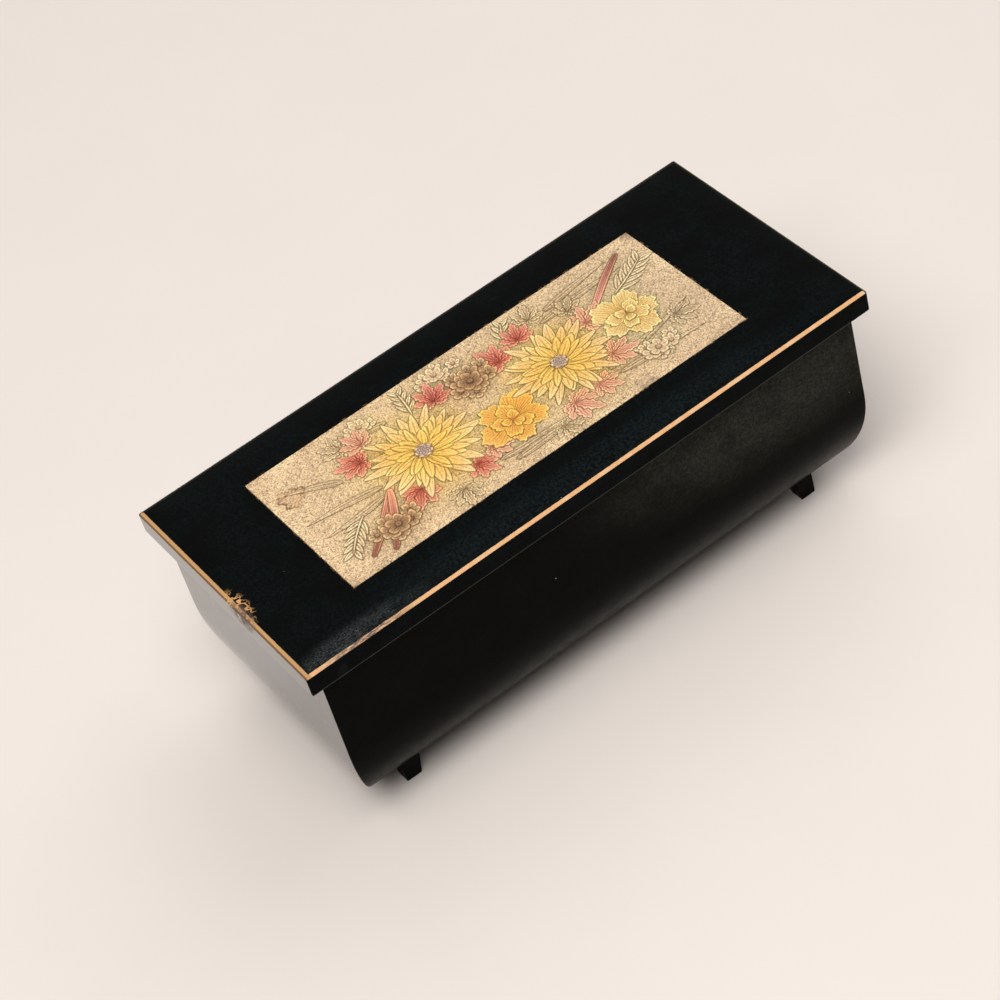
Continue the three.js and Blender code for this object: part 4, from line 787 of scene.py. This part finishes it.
class Relief:
    """A picture on a grid, in millimetres from its front left corner."""

    def __init__(self, length, width, step):
        self.step = step
        columns, rows = round(length / step) + 1, round(width / step) + 1
        self.x, self.y = np.meshgrid(np.linspace(0, length, columns), np.linspace(0, width, rows))
        self.height, self.ink, self.glint, self.cover = np.zeros((4, rows, columns))
        self.tint = np.ones((rows, columns, 3)) * FOIL_TINT

    def window(self, x, y, reach):
        """The part of the grid within reach of a point, and its distances from it along x and y."""
        step = self.step
        area = tuple(
            slice(max(0, int((middle - reach) / step)), max(0, int((middle + reach) / step) + 2))
            for middle in (y, x))
        return area, self.x[area] - x, self.y[area] - y

    def lay(self, area, edge, height, ink, colour, cover=1.0):
        """Puts one raised form with an inked outline over whatever is already there."""
        inside = edge > 0
        outline = ridge(edge, LINE_REACH)
        self.height[area][inside] = (height - OUTLINE_GROOVE * outline)[inside]
        self.ink[area][inside] = np.maximum(ink, OUTLINE_INK * outline)[inside]
        # A painted highlight line just inside the outline
        self.glint[area][inside] = (ridge(edge - GLINT_INSET, GLINT_REACH) * (1 - ink))[inside]
        self.tint[area][inside] = colour[inside]
        self.cover[area][inside] = cover
        rim = ~inside & (edge > -3 * LINE_REACH)
        self.ink[area][rim] = np.maximum(self.ink[area], 0.9 * outline)[rim]
        self.height[area][rim] = np.minimum(self.height[area], -OUTLINE_GROOVE / 2 * outline)[rim]

    def petal(self, x, y, angle, length, width, colours, tip=0.45, base=0.6, veins=3, bend=0.0, wave=0.0,
              cover=1.0):
        """A petal, leaf or blade from (x, y) outwards, coloured from its foot to its tip."""
        area, dx, dy = self.window(x, y, length * (1 + abs(bend)) + width)
        if dx.size == 0:
            return
        along = (dx * math.cos(angle) + dy * math.sin(angle)) / length
        across = dy * math.cos(angle) - dx * math.sin(angle) - bend * length * along**2
        inner = np.clip(along, 0, 1)
        peak = (base / (base + tip)) ** base * (tip / (base + tip)) ** tip
        half = width / 2 * inner**base * (1 - inner) ** tip / peak
        half *= 1 + wave * np.sin(along * 27 + np.sign(across) * 1.3)
        beyond = np.maximum(-along, along - 1) * length
        edge = np.minimum(half - np.abs(across), -beyond)
        share = np.clip(across / np.maximum(half, 0.05), -1, 1)
        vein = off_line(share, veins) * half * 2 / max(veins, 1)
        fade = np.clip(1.3 - along, 0, 1) * (veins > 0)
        ink = VEIN_INK * ridge(vein, VEIN_REACH) * (half > 0.4) * fade
        dome = 0.08 + 0.2 * np.sqrt(np.clip(edge / (0.3 * width), 0, 1))
        self.lay(area, edge, dome - VEIN_GROOVE * ink, ink, blend(colours, inner), cover)

    def fan(self, x, y, angle, length, spread, ruffles, colours, veins):
        """A broad ruffled petal, veined like a fan."""
        area, dx, dy = self.window(x, y, length * 1.2)
        away = np.hypot(dx, dy)
        turn = (np.arctan2(dy, dx) - angle + math.pi) % (2 * math.pi) - math.pi
        share = np.clip(turn / (spread / 2), -1.2, 1.2)
        round_off = np.clip(np.cos(share * math.pi / 2), 0, 1) ** 0.35
        frill = 0.05 * np.sin(share * ruffles * 3 + angle) + 0.03 * np.sin(share * ruffles * 7)
        rim = length * round_off * (1 + frill)
        side = (spread / 2 - np.abs(turn)) * away
        edge = np.where(away > 0.3, np.minimum(rim - away, side), -1)
        reach = np.clip(away / length, 0, 1.1)
        ray = ridge(off_line(share, veins) * spread * away / veins, RAY_REACH)
        ink = VEIN_INK * ray * np.clip(1.3 - reach * 1.05 - 0.3 * np.sin(share * 17) ** 2, 0, 1)
        height = 0.1 + 0.13 * np.sin(reach * 7 + share * ruffles) * reach + 0.16 * reach
        self.lay(area, edge, height - VEIN_GROOVE * ink, ink, blend(colours, reach))

    def heart(self, x, y, radius, colour):
        """A flower's heart: a low dome of small beads in rings."""
        area, dx, dy = self.window(x, y, radius * 1.4)
        away, turn = np.hypot(dx, dy), np.arctan2(dy, dx)
        beads = 0.5 + 0.5 * np.cos(away * 4.6) * np.cos(turn * 7 + np.round(away / 1.37) * 2)
        tint = colour * (0.5 + 0.75 * beads[..., None])
        edge = radius * (1 + 0.06 * np.sin(turn * 9)) - away
        self.lay(area, edge, 0.3 + 0.14 * beads, 0.85 * (1 - beads), tint)

    def daisy(self, x, y, radius, petals, turn, colours):
        """A large open flower: three rings of narrow, pointed petals with colour washed over them."""
        for ring_number, (reach, share) in enumerate(((1, 1), (0.84, 0.85), (0.6, 0.7))):
            count = round(petals * share)
            for i in range(count):
                angle = turn + 0.14 * ring_number + 2 * math.pi * i / count + 0.08 * math.sin(i * 2.3)
                length = radius * reach * (0.92 + 0.15 * math.sin(i * 2.4 + turn * 3))
                width = 4.7 * radius * reach / count * (1 + 0.15 * math.sin(i * 3.7))
                self.petal(x, y, angle, length, width, colours, 0.62, 0.66, 3, 0.08 * math.sin(i * 1.7))
        self.wash(x, y, radius * 0.86, radius * 0.86, DAISY_WASH, 1)
        for i in range(3):
            angle = turn + 2.3 * i
            place = (x + 0.5 * radius * math.cos(angle), y + 0.5 * radius * math.sin(angle))
            self.wash(*place, radius * 0.36, radius * 0.42, DAISY_SHADE, 0.8)
        self.heart(x, y, radius * 0.15, HEART_BROWN)

    def blossom(self, x, y, radius, turn, colours):
        """A small flower of round petals that overlap a little."""
        for i in range(BLOSSOM_PETALS):
            angle = turn + 2 * math.pi * i / BLOSSOM_PETALS
            self.fan(x, y, angle, radius, 2.5 * math.pi / BLOSSOM_PETALS, 1, colours, 3)
        self.heart(x, y, radius * 0.24, colours[1])

    def cluster(self, x, y, reach_x, reach_y, count, radius, turn, colours):
        """Small flowers crowded round a point, the middle one last."""
        for i in range(count, -1, -1):
            angle = turn + i * GOLDEN_TURN
            away = math.sqrt(i / count)
            size = radius * (1.05 - 0.3 * away + 0.08 * math.sin(i * 3.1))
            place = (x + reach_x * away * math.cos(angle), y + reach_y * away * math.sin(angle))
            self.blossom(*place, size, angle, colours)

    def ruffled(self, x, y, radius, turn, colours):
        """A frilled flower: broad petals behind, a curled cup in front."""
        for angle, share, spread in (
                (0.2, 1, 1.7), (1.5, 0.9, 1.6), (2.8, 1, 1.7), (4.0, 0.85, 1.5), (5.2, 0.9, 1.5)):
            self.fan(x, y, turn + angle, radius * share, spread, 4, colours, 15)
        for angle, share in ((0.9, 0.62), (2.3, 0.56), (3.6, 0.6), (4.9, 0.54)):
            self.fan(x, y, turn + angle, radius * share, 1.5, 3, colours, 9)
        for angle, share in ((0.4, 0.34), (2.5, 0.3), (4.6, 0.32)):
            self.fan(x, y, turn + angle, radius * share, 1.9, 2, colours, 5)

    def lobed_leaf(self, x, y, size, turn, colours, cover=1.0):
        """A leaf of seven pointed, toothed lobes."""
        for angle, share in (
                (-2.1, 0.55), (2.1, 0.55), (-1.4, 0.8), (1.4, 0.8), (-0.7, 0.95), (0.7, 0.95),
                (0, 1.08)):
            self.petal(x, y, turn + angle, size * share, size * 0.44, colours,
                       0.75, 0.7, 4, 0.04, 0.16, cover)

    def spray(self, x, y, turn, length, leaves, leaf_length, bend, colours):
        """A stem with pairs of narrow leaves."""
        for i in range(leaves):
            share = (i + 0.6) / (leaves + 0.2)
            along = share * length
            px = x + along * math.cos(turn) - bend * length * share**2 * math.sin(turn)
            py = y + along * math.sin(turn) + bend * length * share**2 * math.cos(turn)
            lean = turn + 2 * bend * share
            size = leaf_length * (1.1 - 0.35 * share)
            for side in (-1, 1):
                self.petal(px, py, lean + side * 0.6, size, leaf_length * 0.3, colours,
                           0.8, 0.6, 1, 0, 0, 0.4)
        self.petal(x, y, turn, length, 0.9, colours, 0.3, 0.15, 0, bend, 0, 0.4)

    def wash(self, x, y, reach_x, reach_y, colour, strength):
        """A soft cloud of colour over everything in its reach."""
        off = ((self.x - x) / reach_x) ** 2 + ((self.y - y) / reach_y) ** 2
        amount = strength * np.exp(-off)[..., None]
        self.tint = self.tint * (1 - amount + colour * amount)

    def stain(self, x, y, radius):
        """A damp mark: a ragged ring with a tide line."""
        turn = np.arctan2(self.y - y, self.x - x)
        lobes = 0.16 * np.sin(3 * turn + 1) + 0.1 * np.sin(7 * turn) + 0.05 * np.sin(15 * turn + 2)
        ragged = radius * (1 + lobes)
        off = np.hypot(self.x - x, self.y - y) - ragged
        self.ink = np.maximum(self.ink, 0.85 * ridge(off, 0.45) * (0.6 + 0.4 * np.sin(turn * 2 + 1)))
        self.height -= 0.1 * ridge(off, 0.7)
        damp = (off < 0) * np.clip(1 + off / radius, 0.35, 1)
        self.tint = self.tint * (1 - damp[..., None] * DAMP)

    def finish(self, seed):
        """Feathers the washes, then paints highlights on the ridges and along the outlines, shade in the
        hollows, and dirt and shadow round the forms, and adds the stipple and the ink.
        """
        fine = np.random.default_rng(seed).random(self.x.shape)
        layers = (fine, box_blur(fine, 1), box_blur(fine, 5 / self.step))
        fine, coarse, cloud = ((layer - layer.mean()) / layer.std() for layer in layers)
        open_foil = 1 - 0.55 * box_blur(self.cover, 1)
        # A darker, greener halo round the raised forms: dirt and painted shadow
        dirt_and_shadow_halo = box_blur(box_blur(self.cover, 2.4 / self.step), 2.4 / self.step) * (1 - self.cover)
        for channel in range(3):
            soft = box_blur(self.tint[..., channel], 0.5 / self.step)
            self.tint[..., channel] = box_blur(soft, 0.4 / self.step)
        # Painted highlight on raised ridges and painted shade in the hollows
        lift = self.height - box_blur(self.height, 0.5 / self.step)
        shade = 1 + np.clip(lift * RIDGE_LIGHT_AND_HOLLOW_SHADE, -0.4, 0.34)
        shade = shade + GLINT_SHADE * self.glint - DIRT_AND_SHADOW_SHADE * dirt_and_shadow_halo + CLOUD_SHADE * cloud
        stipple = FINE_STIPPLE * fine + np.clip(COARSE_STIPPLE * coarse, -0.4, 0.2)
        shade = shade * (1 + stipple * open_foil)
        self.tint *= shade[..., None]
        self.tint[..., 0] *= 1 - 0.12 * dirt_and_shadow_halo
        self.tint[..., 2] *= 1 - 0.2 * dirt_and_shadow_halo
        self.tint *= 1 - self.ink[..., None] * (1 - INK)
        self.tint = np.clip(self.tint, 0.01, 1)
        self.height += 0.025 * coarse * open_foil


def scatter(draw, places, *others):
    """Draws one form at each of its places."""
    for place in places:
        draw(*place, *others)


def draw_picture(relief):
    plain = (FOIL_TINT * 0.96, FOIL_TINT * 1.03)
    pale = (FOIL_TINT * 1.04, FOIL_TINT * 1.2)
    yellow = (YELLOW, PALE_YELLOW)
    deep_yellow = (AMBER, YELLOW)
    rose = (ROSE, PINK)
    pale_rose = (PINK, (PINK + FOIL_TINT) / 2)
    dark = (BROWN, BRONZE)

    # Uncoloured blades, sprays and leaves behind everything
    for x, y, angle, length, bend in (
            (32, 30, 2.9, 28, 0.1), (30, 26, 3.3, 24, -0.1), (66, 10, -0.1, 36, 0.06),
            (70, 6, 0.06, 30, -0.04), (116, 16, 0.12, 40, 0.08), (118, 12, -0.05, 34, -0.04),
            (114, 52, 0.12, 36, -0.08), (118, 56, 0.22, 30, -0.1), (24, 42, 2.5, 20, 0.15),
            (50, 54, 3.0, 24, -0.1)):
        relief.petal(x, y, angle, length, 3.2, plain, 1.0, 0.4, 3, bend, 0, 0.4)
    scatter(relief.spray, (
        (140, 44, 0.35, 19, 5, 8, 0.1), (20, 24, -2.5, 17, 5, 7, 0.15), (58, 50, 1.3, 13, 4, 6, 0.1),
        (100, 54, 1.2, 10, 3, 6, -0.1), (126, 22, -0.9, 17, 4, 6, 0.1)), plain)
    scatter(relief.lobed_leaf, (
        (50, 8, 8, -1.8), (112, 57, 8, 1.2), (90, 6, 7, -1.2), (32, 55, 8, 2.4), (148, 20, 8, -0.4),
        (124, 50, 7, 0.9)), plain, 0.5)
    scatter(relief.cluster, (
        (74, 60, 8, 3, 5, 3.6, 0.4), (134, 12, 8, 4, 5, 3.8, 1.2), (42, 59, 5, 2, 3, 3.6, 0.8)), plain)

    # Stems
    for x, y, angle, length, bend in (
            (12, 6, 0.72, 36, 0.08), (19, 3, 0.95, 28, 0.1), (153, 60, 3.7, 28, 0.08)):
        relief.petal(x, y, angle, length, 3, (RUSSET, PINK), 0.2, 0.25, 4, bend)

    # Leaves with a rose tint round the large flowers
    scatter(relief.lobed_leaf, (
        (40, 19, 9, -2.2), (67, 50, 9, 1.3), (60, 14, 8, -1.1), (93, 48, 10, 1.9), (104, 52, 8, 1.2),
        (33, 45, 9, 2.8)), rose)
    scatter(relief.lobed_leaf, (
        (38, 52, 8, 2.0), (99, 12, 10, -1.0), (110, 13, 8, -0.8), (68, 17, 8, -0.4), (125, 40, 10, 0.6),
        (122, 21, 9, -0.3)), pale_rose)

    # Small dark flowers
    scatter(relief.cluster, ((81, 48, 8.5, 6.5, 8, 4.4, 0.3), (26, 12, 8, 5, 6, 4.4, 1.1)), dark)
    relief.wash(81, 48, 9, 7, DARK_WASH, 0.85)
    relief.wash(26, 12, 8.5, 6, DIM_WASH, 0.85)

    # Large flowers, a cooler right end and a damp mark
    relief.daisy(51, 33, 21, 25, 0.2, pale)
    relief.ruffled(80, 22, 13.5, 0.6, deep_yellow)
    relief.daisy(107, 32, 20, 24, 0.75, pale)
    relief.ruffled(137, 33, 13, 2.1, yellow)
    relief.wash(170, 32, 60, 60, COOL_WASH, 1)
    relief.stain(8, 49, 4.4)


def make_picture():
    low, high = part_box("picture_panel")
    length, width = (high.x - low.x) / MM, (high.y - low.y) / MM
    relief = Relief(length, width, GRID_STEP)
    draw_picture(relief)
    relief.finish(STIPPLE_SEED)
    rows, columns = relief.x.shape
    border = np.minimum.reduce([relief.x, length - relief.x, relief.y, width - relief.y])
    height = (relief.height - 0.05) * np.clip(border / 0.8, 0, 1)
    height = height - 0.12 * np.clip(1 - border / 0.5, 0, 1)
    places = [low.x + relief.x * MM, low.y + relief.y * MM, high.z + height * MM]
    top = np.stack(places, -1).reshape(-1, 3)
    index = np.arange(rows * columns).reshape(rows, columns)
    quads = np.stack([index[:-1, :-1], index[:-1, 1:], index[1:, 1:], index[1:, :-1]], -1).reshape(-1, 4)
    loop = np.concatenate([index[0, :-1], index[:-1, -1], index[-1, :0:-1], index[:0:-1, 0]])
    base = top[loop].copy()
    base[:, 2] = low.z
    start = len(top)
    following = np.roll(np.arange(len(loop)), -1)
    skirt = np.stack([loop[following], loop, start + np.arange(len(loop)), start + following], -1)
    underside = tuple(range(start + len(loop) - 1, start - 1, -1))
    faces = [*map(tuple, quads.tolist()), *map(tuple, skirt.tolist()), underside]
    mesh = mesh_of("foil_picture", np.concatenate([top, base]).tolist(), faces)
    colours = np.ones((len(mesh.vertices), 4), dtype=np.float32)
    colours[:start, :3] = relief.tint.reshape(-1, 3)
    colours[start:, :3] = FOIL_TINT * 0.7
    layer = mesh.color_attributes.new("tint", "FLOAT_COLOR", "POINT")
    layer.data.foreach_set("color", colours.ravel())
    mesh.shade_smooth()
    mesh.set_sharp_from_angle(angle=math.radians(60))
    add_object("foil_picture", mesh, FOIL, "lid", "picture_panel")


# Linings

SWELL_FRAMES = 20


def ripple(point, size, depth, seed):
    """A slow wave in a padded surface, as a signed distance."""
    return depth * noise.noise(Vector(point) / size + Vector((seed, seed * 0.7, seed * 1.3)))


def make_well_lining():
    low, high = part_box("well_lining")
    top = high.z

    def level(inset, rise, drop, radius, z=None, right=high.x):
        return tub_ring(inset, rise, drop, radius, CASE_LINING_SIDES, z, right)

    # The outer face, the round hem on top and the inner face
    rings = [level(INSIDE, FLOOR + GAP, drop, LINING_CORNER) for drop in falling(10)]
    rings.append(level(INSIDE, 0, 1, LINING_CORNER, top - 0.8 * MM))
    for turn in (math.pi * i / 4 for i in range(5)):
        inset = INSIDE + LINING / 2 - LINING_HEM * math.cos(turn)
        z = top - LINING_HEM + LINING_HEM * math.sin(turn)
        right = high.x - LINING / 2 + LINING_HEM * math.cos(turn)
        rings.append(level(inset, 0, 1, LINING_CORNER, z, right))
    inside_start = len(rings)
    inner, right_in = INSIDE + LINING, high.x - LINING
    for z in np.linspace(top - 1.2 * MM, CASE_LOW.z + ROUNDING_HEIGHT + 2 * MM, 12):
        rings.append(level(inner, 0, 1, 2 * MM, float(z), right_in))
    rings += [level(inner, inner, drop, 2 * MM, None, right_in) for drop in reversed(falling(18))]

    # The inner face bulges unevenly
    centre = Vector(((low.x + high.x) / 2, (low.y + high.y) / 2, 0))
    for index in range(inside_start, len(rings)):
        moved = []
        for point in rings[index]:
            inward = (centre - Vector((point[0], point[1], 0))).normalized()
            shift = 0.25 * MM + ripple(point, 14 * MM, 0.25 * MM, 3.1)
            moved.append((point[0] + inward.x * shift, point[1] + inward.y * shift, point[2]))
        rings[index] = moved
    mesh = loft("well_velvet", rings)
    lining = add_object("well_velvet", mesh, VELVET, "case", "well_lining")
    smooth(lining, 50)


def make_lid_pad():
    """The mirror's padded surround: a soft roll of velvet over a card, open in the middle."""
    low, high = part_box("lid_lining")
    mirror_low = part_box("mirror")[0]
    border_x = mirror_low.x + MIRROR_LAP - low.x
    border_y = mirror_low.y + MIRROR_LAP - low.y

    def level(share_x, share_y, z, radius):
        """A ring drawn in by a share of the border's width on each side."""
        in_x, in_y = border_x * share_x, border_y * share_y
        sides = (low.x + in_x, high.x - in_x, low.y + in_y, high.y - in_y)
        return ring(*sides, z, radius, LID_LINING_SIDES)

    # From the outer edge, along the soft lower face, to the window, and back along the mirror's bed
    soft = []
    for share in np.linspace(0, 1, 15):
        sag = math.sin(math.pi * min(1, share * 1.02)) ** 0.55
        soft.append((share, mirror_low.z - 0.35 * MM - 1.35 * MM * sag))
    bed = mirror_low.z - GAP
    rings = [level(share, share, z, 0.5 * MM + 1.5 * MM * share)
             for share, z in [(0.0, high.z), (0.0, mirror_low.z + 0.4 * MM), *soft]]
    rings.append(level(1, 1, bed, 2 * MM))
    bed_x = (mirror_low.x - GAP - low.x) / border_x
    bed_y = (mirror_low.y - GAP - low.y) / border_y
    rings += [level(bed_x, bed_y, z, 0.6 * MM) for z in (bed, high.z)]
    for index in range(3, len(soft) + 1):
        rings[index] = [(x, y, max(low.z, z + ripple((x, y, z), 9 * MM, 0.22 * MM, 5.3)))
                        for x, y, z in rings[index]]
    pad = add_object("lid_pad", loft("lid_pad", rings, True), VELVET, "lid", "lid_lining")
    smooth(pad, 60)


def soft_copy(node, name, width):
    """A covered board: the node's form with rounded edges, in a mesh of its own."""
    source = NODES[node].data
    made = bmesh.new()
    made.from_mesh(source)
    bmesh.ops.remove_doubles(made, verts=made.verts, dist=1e-6)
    bmesh.ops.dissolve_limit(made, angle_limit=math.radians(1), verts=made.verts, edges=made.edges)
    inner = [edge for edge in made.edges if len(edge.link_faces) == 2]
    sharp = [edge for edge in inner if edge.calc_face_angle() > math.radians(40)]
    bmesh.ops.bevel(
        made, geom=sharp, offset=width, segments=3, profile=0.5, affect="EDGES", clamp_overlap=True)
    mesh = bpy.data.meshes.new(name)
    made.to_mesh(mesh)
    made.free()
    mesh.materials.clear()
    return mesh


def make_riser():
    mesh = soft_copy("ring_riser", "riser_velvet", 0.5 * MM)
    riser = add_object("riser_velvet", mesh, VELVET, "case", "ring_riser")
    smooth(riser, 35)


def roll_mesh(low, high):
    """A plump roll with a flat underside and drawn-in ends, a little smaller than its place."""
    stations, steps = 34, 28
    shrink = 0.9
    end_gap = 0.6 * MM
    sunk, tall = 0.82, 1.82  # how far the flat underside lies below the middle and below the top
    width, height = (high.x - low.x) * shrink, (high.z - low.z) * shrink
    rings = []
    for i in range(stations + 1):
        share = i / stations
        end = min(share, 1 - share) * 2
        size = min(1, 0.5 + 0.5 * math.sin(math.pi / 2 * min(1, end * 7)))
        y = low.y + end_gap + share * (high.y - low.y - 2 * end_gap)
        points = []
        for k in range(steps):
            angle = 2 * math.pi * k / steps
            lift = max(math.sin(angle), -sunk) + sunk
            x = (low.x + high.x) / 2 + size * width / 2 * math.cos(angle)
            points.append((x, y, low.z + size * height * lift / tall))
        rings.append(points[::-1])
    return loft("roll", rings)


def points_of(piece):
    return np.array([vertex.co[:] for vertex in piece.data.vertices])


def swell(piece, cap):
    """Fills a pad by a short cloth simulation. Gives its points, none moved further than the cap."""
    modify(piece, "even", "REMESH", mode="VOXEL", voxel_size=1.6 * MM)
    keep_result(piece)
    before = points_of(piece)
    cloth = modify(piece, "cloth", "CLOTH")
    adjust(cloth.settings, quality=6, mass=0.1, use_pressure=True, uniform_pressure_force=4,
           tension_stiffness=12, compression_stiffness=12, bending_stiffness=0.3)
    cloth.settings.effector_weights.gravity = 0
    adjust(cloth.point_cache, frame_start=1, frame_end=SWELL_FRAMES)
    scene = bpy.context.scene
    for step in range(1, SWELL_FRAMES + 1):
        scene.frame_set(step)
    keep_result(piece)
    scene.frame_set(1)
    shift = points_of(piece) - before
    length = np.linalg.norm(shift, axis=1, keepdims=True)
    return before + shift * np.minimum(1, cap / np.maximum(length, 1e-9))


def make_ring_rolls():
    low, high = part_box("ring_roll_1")
    first = put("roll_form", roll_mesh(low, high))
    points = np.clip(swell(first, 1.1 * MM), low, high)
    first.data.vertices.foreach_set("co", points.ravel())
    first.data.update()
    form = first.data
    bpy.data.objects.remove(first)
    for number in (1, 2, 3):
        node_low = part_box(f"ring_roll_{number}")[0]
        mesh = form.copy()
        mesh.name = f"ring_pad_{number}"
        mesh.transform(Matrix.Translation(node_low - low))
        for vertex in mesh.vertices:
            if vertex.co.z > node_low.z + 1 * MM:
                vertex.co.z += min(0.0, ripple(vertex.co, 11 * MM, 0.5 * MM, number * 2.7))
        pad = add_object(f"ring_pad_{number}", mesh, VELVET, "case", f"ring_roll_{number}")
        mesh.shade_smooth()
        modify(pad, "finer", "SUBSURF", levels=1, render_levels=1)


# Carried-over solids: material, bevel in millimetres and how the names of the nodes start

FINISHES = (
    (FOOT_LACQUER, 0.5, ("foot_",)),
    (CASE_LACQUER, 0.3, ("partition", "cover_ledge_")),
    (MIRROR, 0.2, ("mirror",)),
    (CLEAR, 0.2, ("movement_cover",)),
    (ZINC, 0.15, ("bedplate",)),
    (BRASS, 0, ("hinge_pin_",)),
    (BRASS, 0.05, ("hinge_case_leaf_", "hinge_lid_leaf_")),
    (BRASS, 0.04, (
        "case_hinge_screw_", "lid_hinge_screw_", "winding_key", "great_wheel", "pinned_cylinder",
        "drive_pinion", "end_gear", "governor_wheel", "air_fan")),
    (STEEL, 0.05, (
        "spring_housing", "mainspring", "winding_arbor", "cylinder_arbor", "drive_bearing_plate",
        "governor_bearing_plate", "comb", "governor_bracket", "governor_arbor", "worm_shaft", "stop_",
        "movement_screw_")),
)


def softening_group():
    """Joins the faces of a solid, smooths its round sides and keeps its edges sharp."""
    tree = bpy.data.node_groups.new("soften", "GeometryNodeTree")
    for way in ("INPUT", "OUTPUT"):
        tree.interface.new_socket("Geometry", in_out=way, socket_type="NodeSocketGeometry")
    group = Nodes(tree)
    turn = group.node("GeometryNodeInputMeshEdgeAngle").outputs["Unsigned Angle"]
    sharp = group.node("FunctionNodeCompare", {0: turn, 1: math.radians(32)}, operation="GREATER_THAN")
    result = group.node("NodeGroupInput").outputs[0]
    for kind, settings, inputs in (
            ("GeometryNodeMergeByDistance", {}, {"Distance": 1e-6}),
            ("GeometryNodeSetShadeSmooth", {"domain": "FACE"}, {}),
            ("GeometryNodeSetShadeSmooth", {"domain": "EDGE"},
             {"Shade Smooth": False, "Selection": sharp.outputs[0]})):
        result = group.node(kind, {0: result, **inputs}, **settings).outputs[0]
    group.node("NodeGroupOutput", {0: result})
    return tree


SOFTEN = softening_group()


def finish_node(node, material, bevel):
    piece = NODES[node]
    piece.data.materials.clear()
    piece.data.materials.append(material)
    flat_normals = piece.data.attributes.get("custom_normal")
    if flat_normals:
        piece.data.attributes.remove(flat_normals)
    modify(piece, "soften", "NODES", node_group=SOFTEN)
    if bevel:
        modify(piece, "edges", "BEVEL", width=bevel, segments=2, limit_method="ANGLE",
               angle_limit=math.radians(40))


def finish_solids():
    for material, bevel, starts in FINISHES:
        for node in NODES:
            if node.startswith(starts):
                finish_node(node, material, bevel * MM)


make_case()
make_lid()
make_picture()
make_well_lining()
make_lid_pad()
make_riser()
make_ring_rolls()
finish_solids()


# Floor, light and backdrop

FLOOR_COLOUR = (0.88, 0.795, 0.73)
FLOOR_REACH = 1.1  # radius, as far as the lamps light it evenly
SKY_COLOUR = (1, 0.995, 0.99)
SKY_LIGHT = 0.177  # straight overhead, fading to nothing at the horizon
LIGHT_TARGET = Vector((0, 0, 0.04))


def make_floor():
    sides = 96
    turns = [2 * math.pi * i / sides for i in range(sides)]
    rim = [(FLOOR_REACH * math.cos(turn), FLOOR_REACH * math.sin(turn), 0) for turn in turns]
    graph = Graph("floor_paper")
    warm = tuple(value * 0.985 for value in FLOOR_COLOUR)
    colour = graph.mix(graph.patches(90, 4, 0.6, 0.3, 0.7), FLOOR_COLOUR, warm)
    mesh = mesh_of("floor", rim, [tuple(range(sides))])
    mesh.materials.append(graph.done(colour, 0.75, None, 0))
    put("floor", mesh)


def make_light(name, place, size, power):
    data = adjust(
        bpy.data.lights.new(name, "AREA"), shape="RECTANGLE", size=size, size_y=size, energy=power)
    facing = (LIGHT_TARGET - Vector(place)).to_track_quat("-Z", "Y").to_euler()
    adjust(put(name, data), location=place, rotation_euler=facing, visible_glossy=False)


def make_world():
    """Soft light from above, with the backdrop's own colour for the camera and in reflections."""
    world = bpy.data.worlds.new("studio")
    world.use_nodes = True
    world.node_tree.nodes.clear()
    graph = Nodes(world.node_tree)
    generated = graph.node("ShaderNodeTexCoord").outputs["Generated"]
    upward = graph.node("ShaderNodeSeparateXYZ", {0: generated}).outputs["Z"]
    strength = graph.most(graph.times(upward, SKY_LIGHT), 0.0)
    paths = graph.node("ShaderNodeLightPath").outputs
    sees = graph.most(paths["Is Camera Ray"], paths["Is Glossy Ray"], paths["Is Transmission Ray"])
    sky = graph.node("ShaderNodeBackground", {"Color": (*SKY_COLOUR, 1), "Strength": strength})
    backdrop = graph.node("ShaderNodeBackground", {"Color": (*FLOOR_COLOUR, 1)})
    mixed = graph.node("ShaderNodeMixShader", {0: sees, 1: sky.outputs[0], 2: backdrop.outputs[0]})
    graph.node("ShaderNodeOutputWorld", {"Surface": mixed.outputs[0]})
    bpy.context.scene.world = world


make_floor()
make_light("front_left", (-0.72, -0.72, 2.18), 1.6, 49.5)
make_light("back_right", (1.47, 0.85, 1.7), 3, 29)
make_world()
bpy.context.scene.view_settings.view_transform = "Standard"
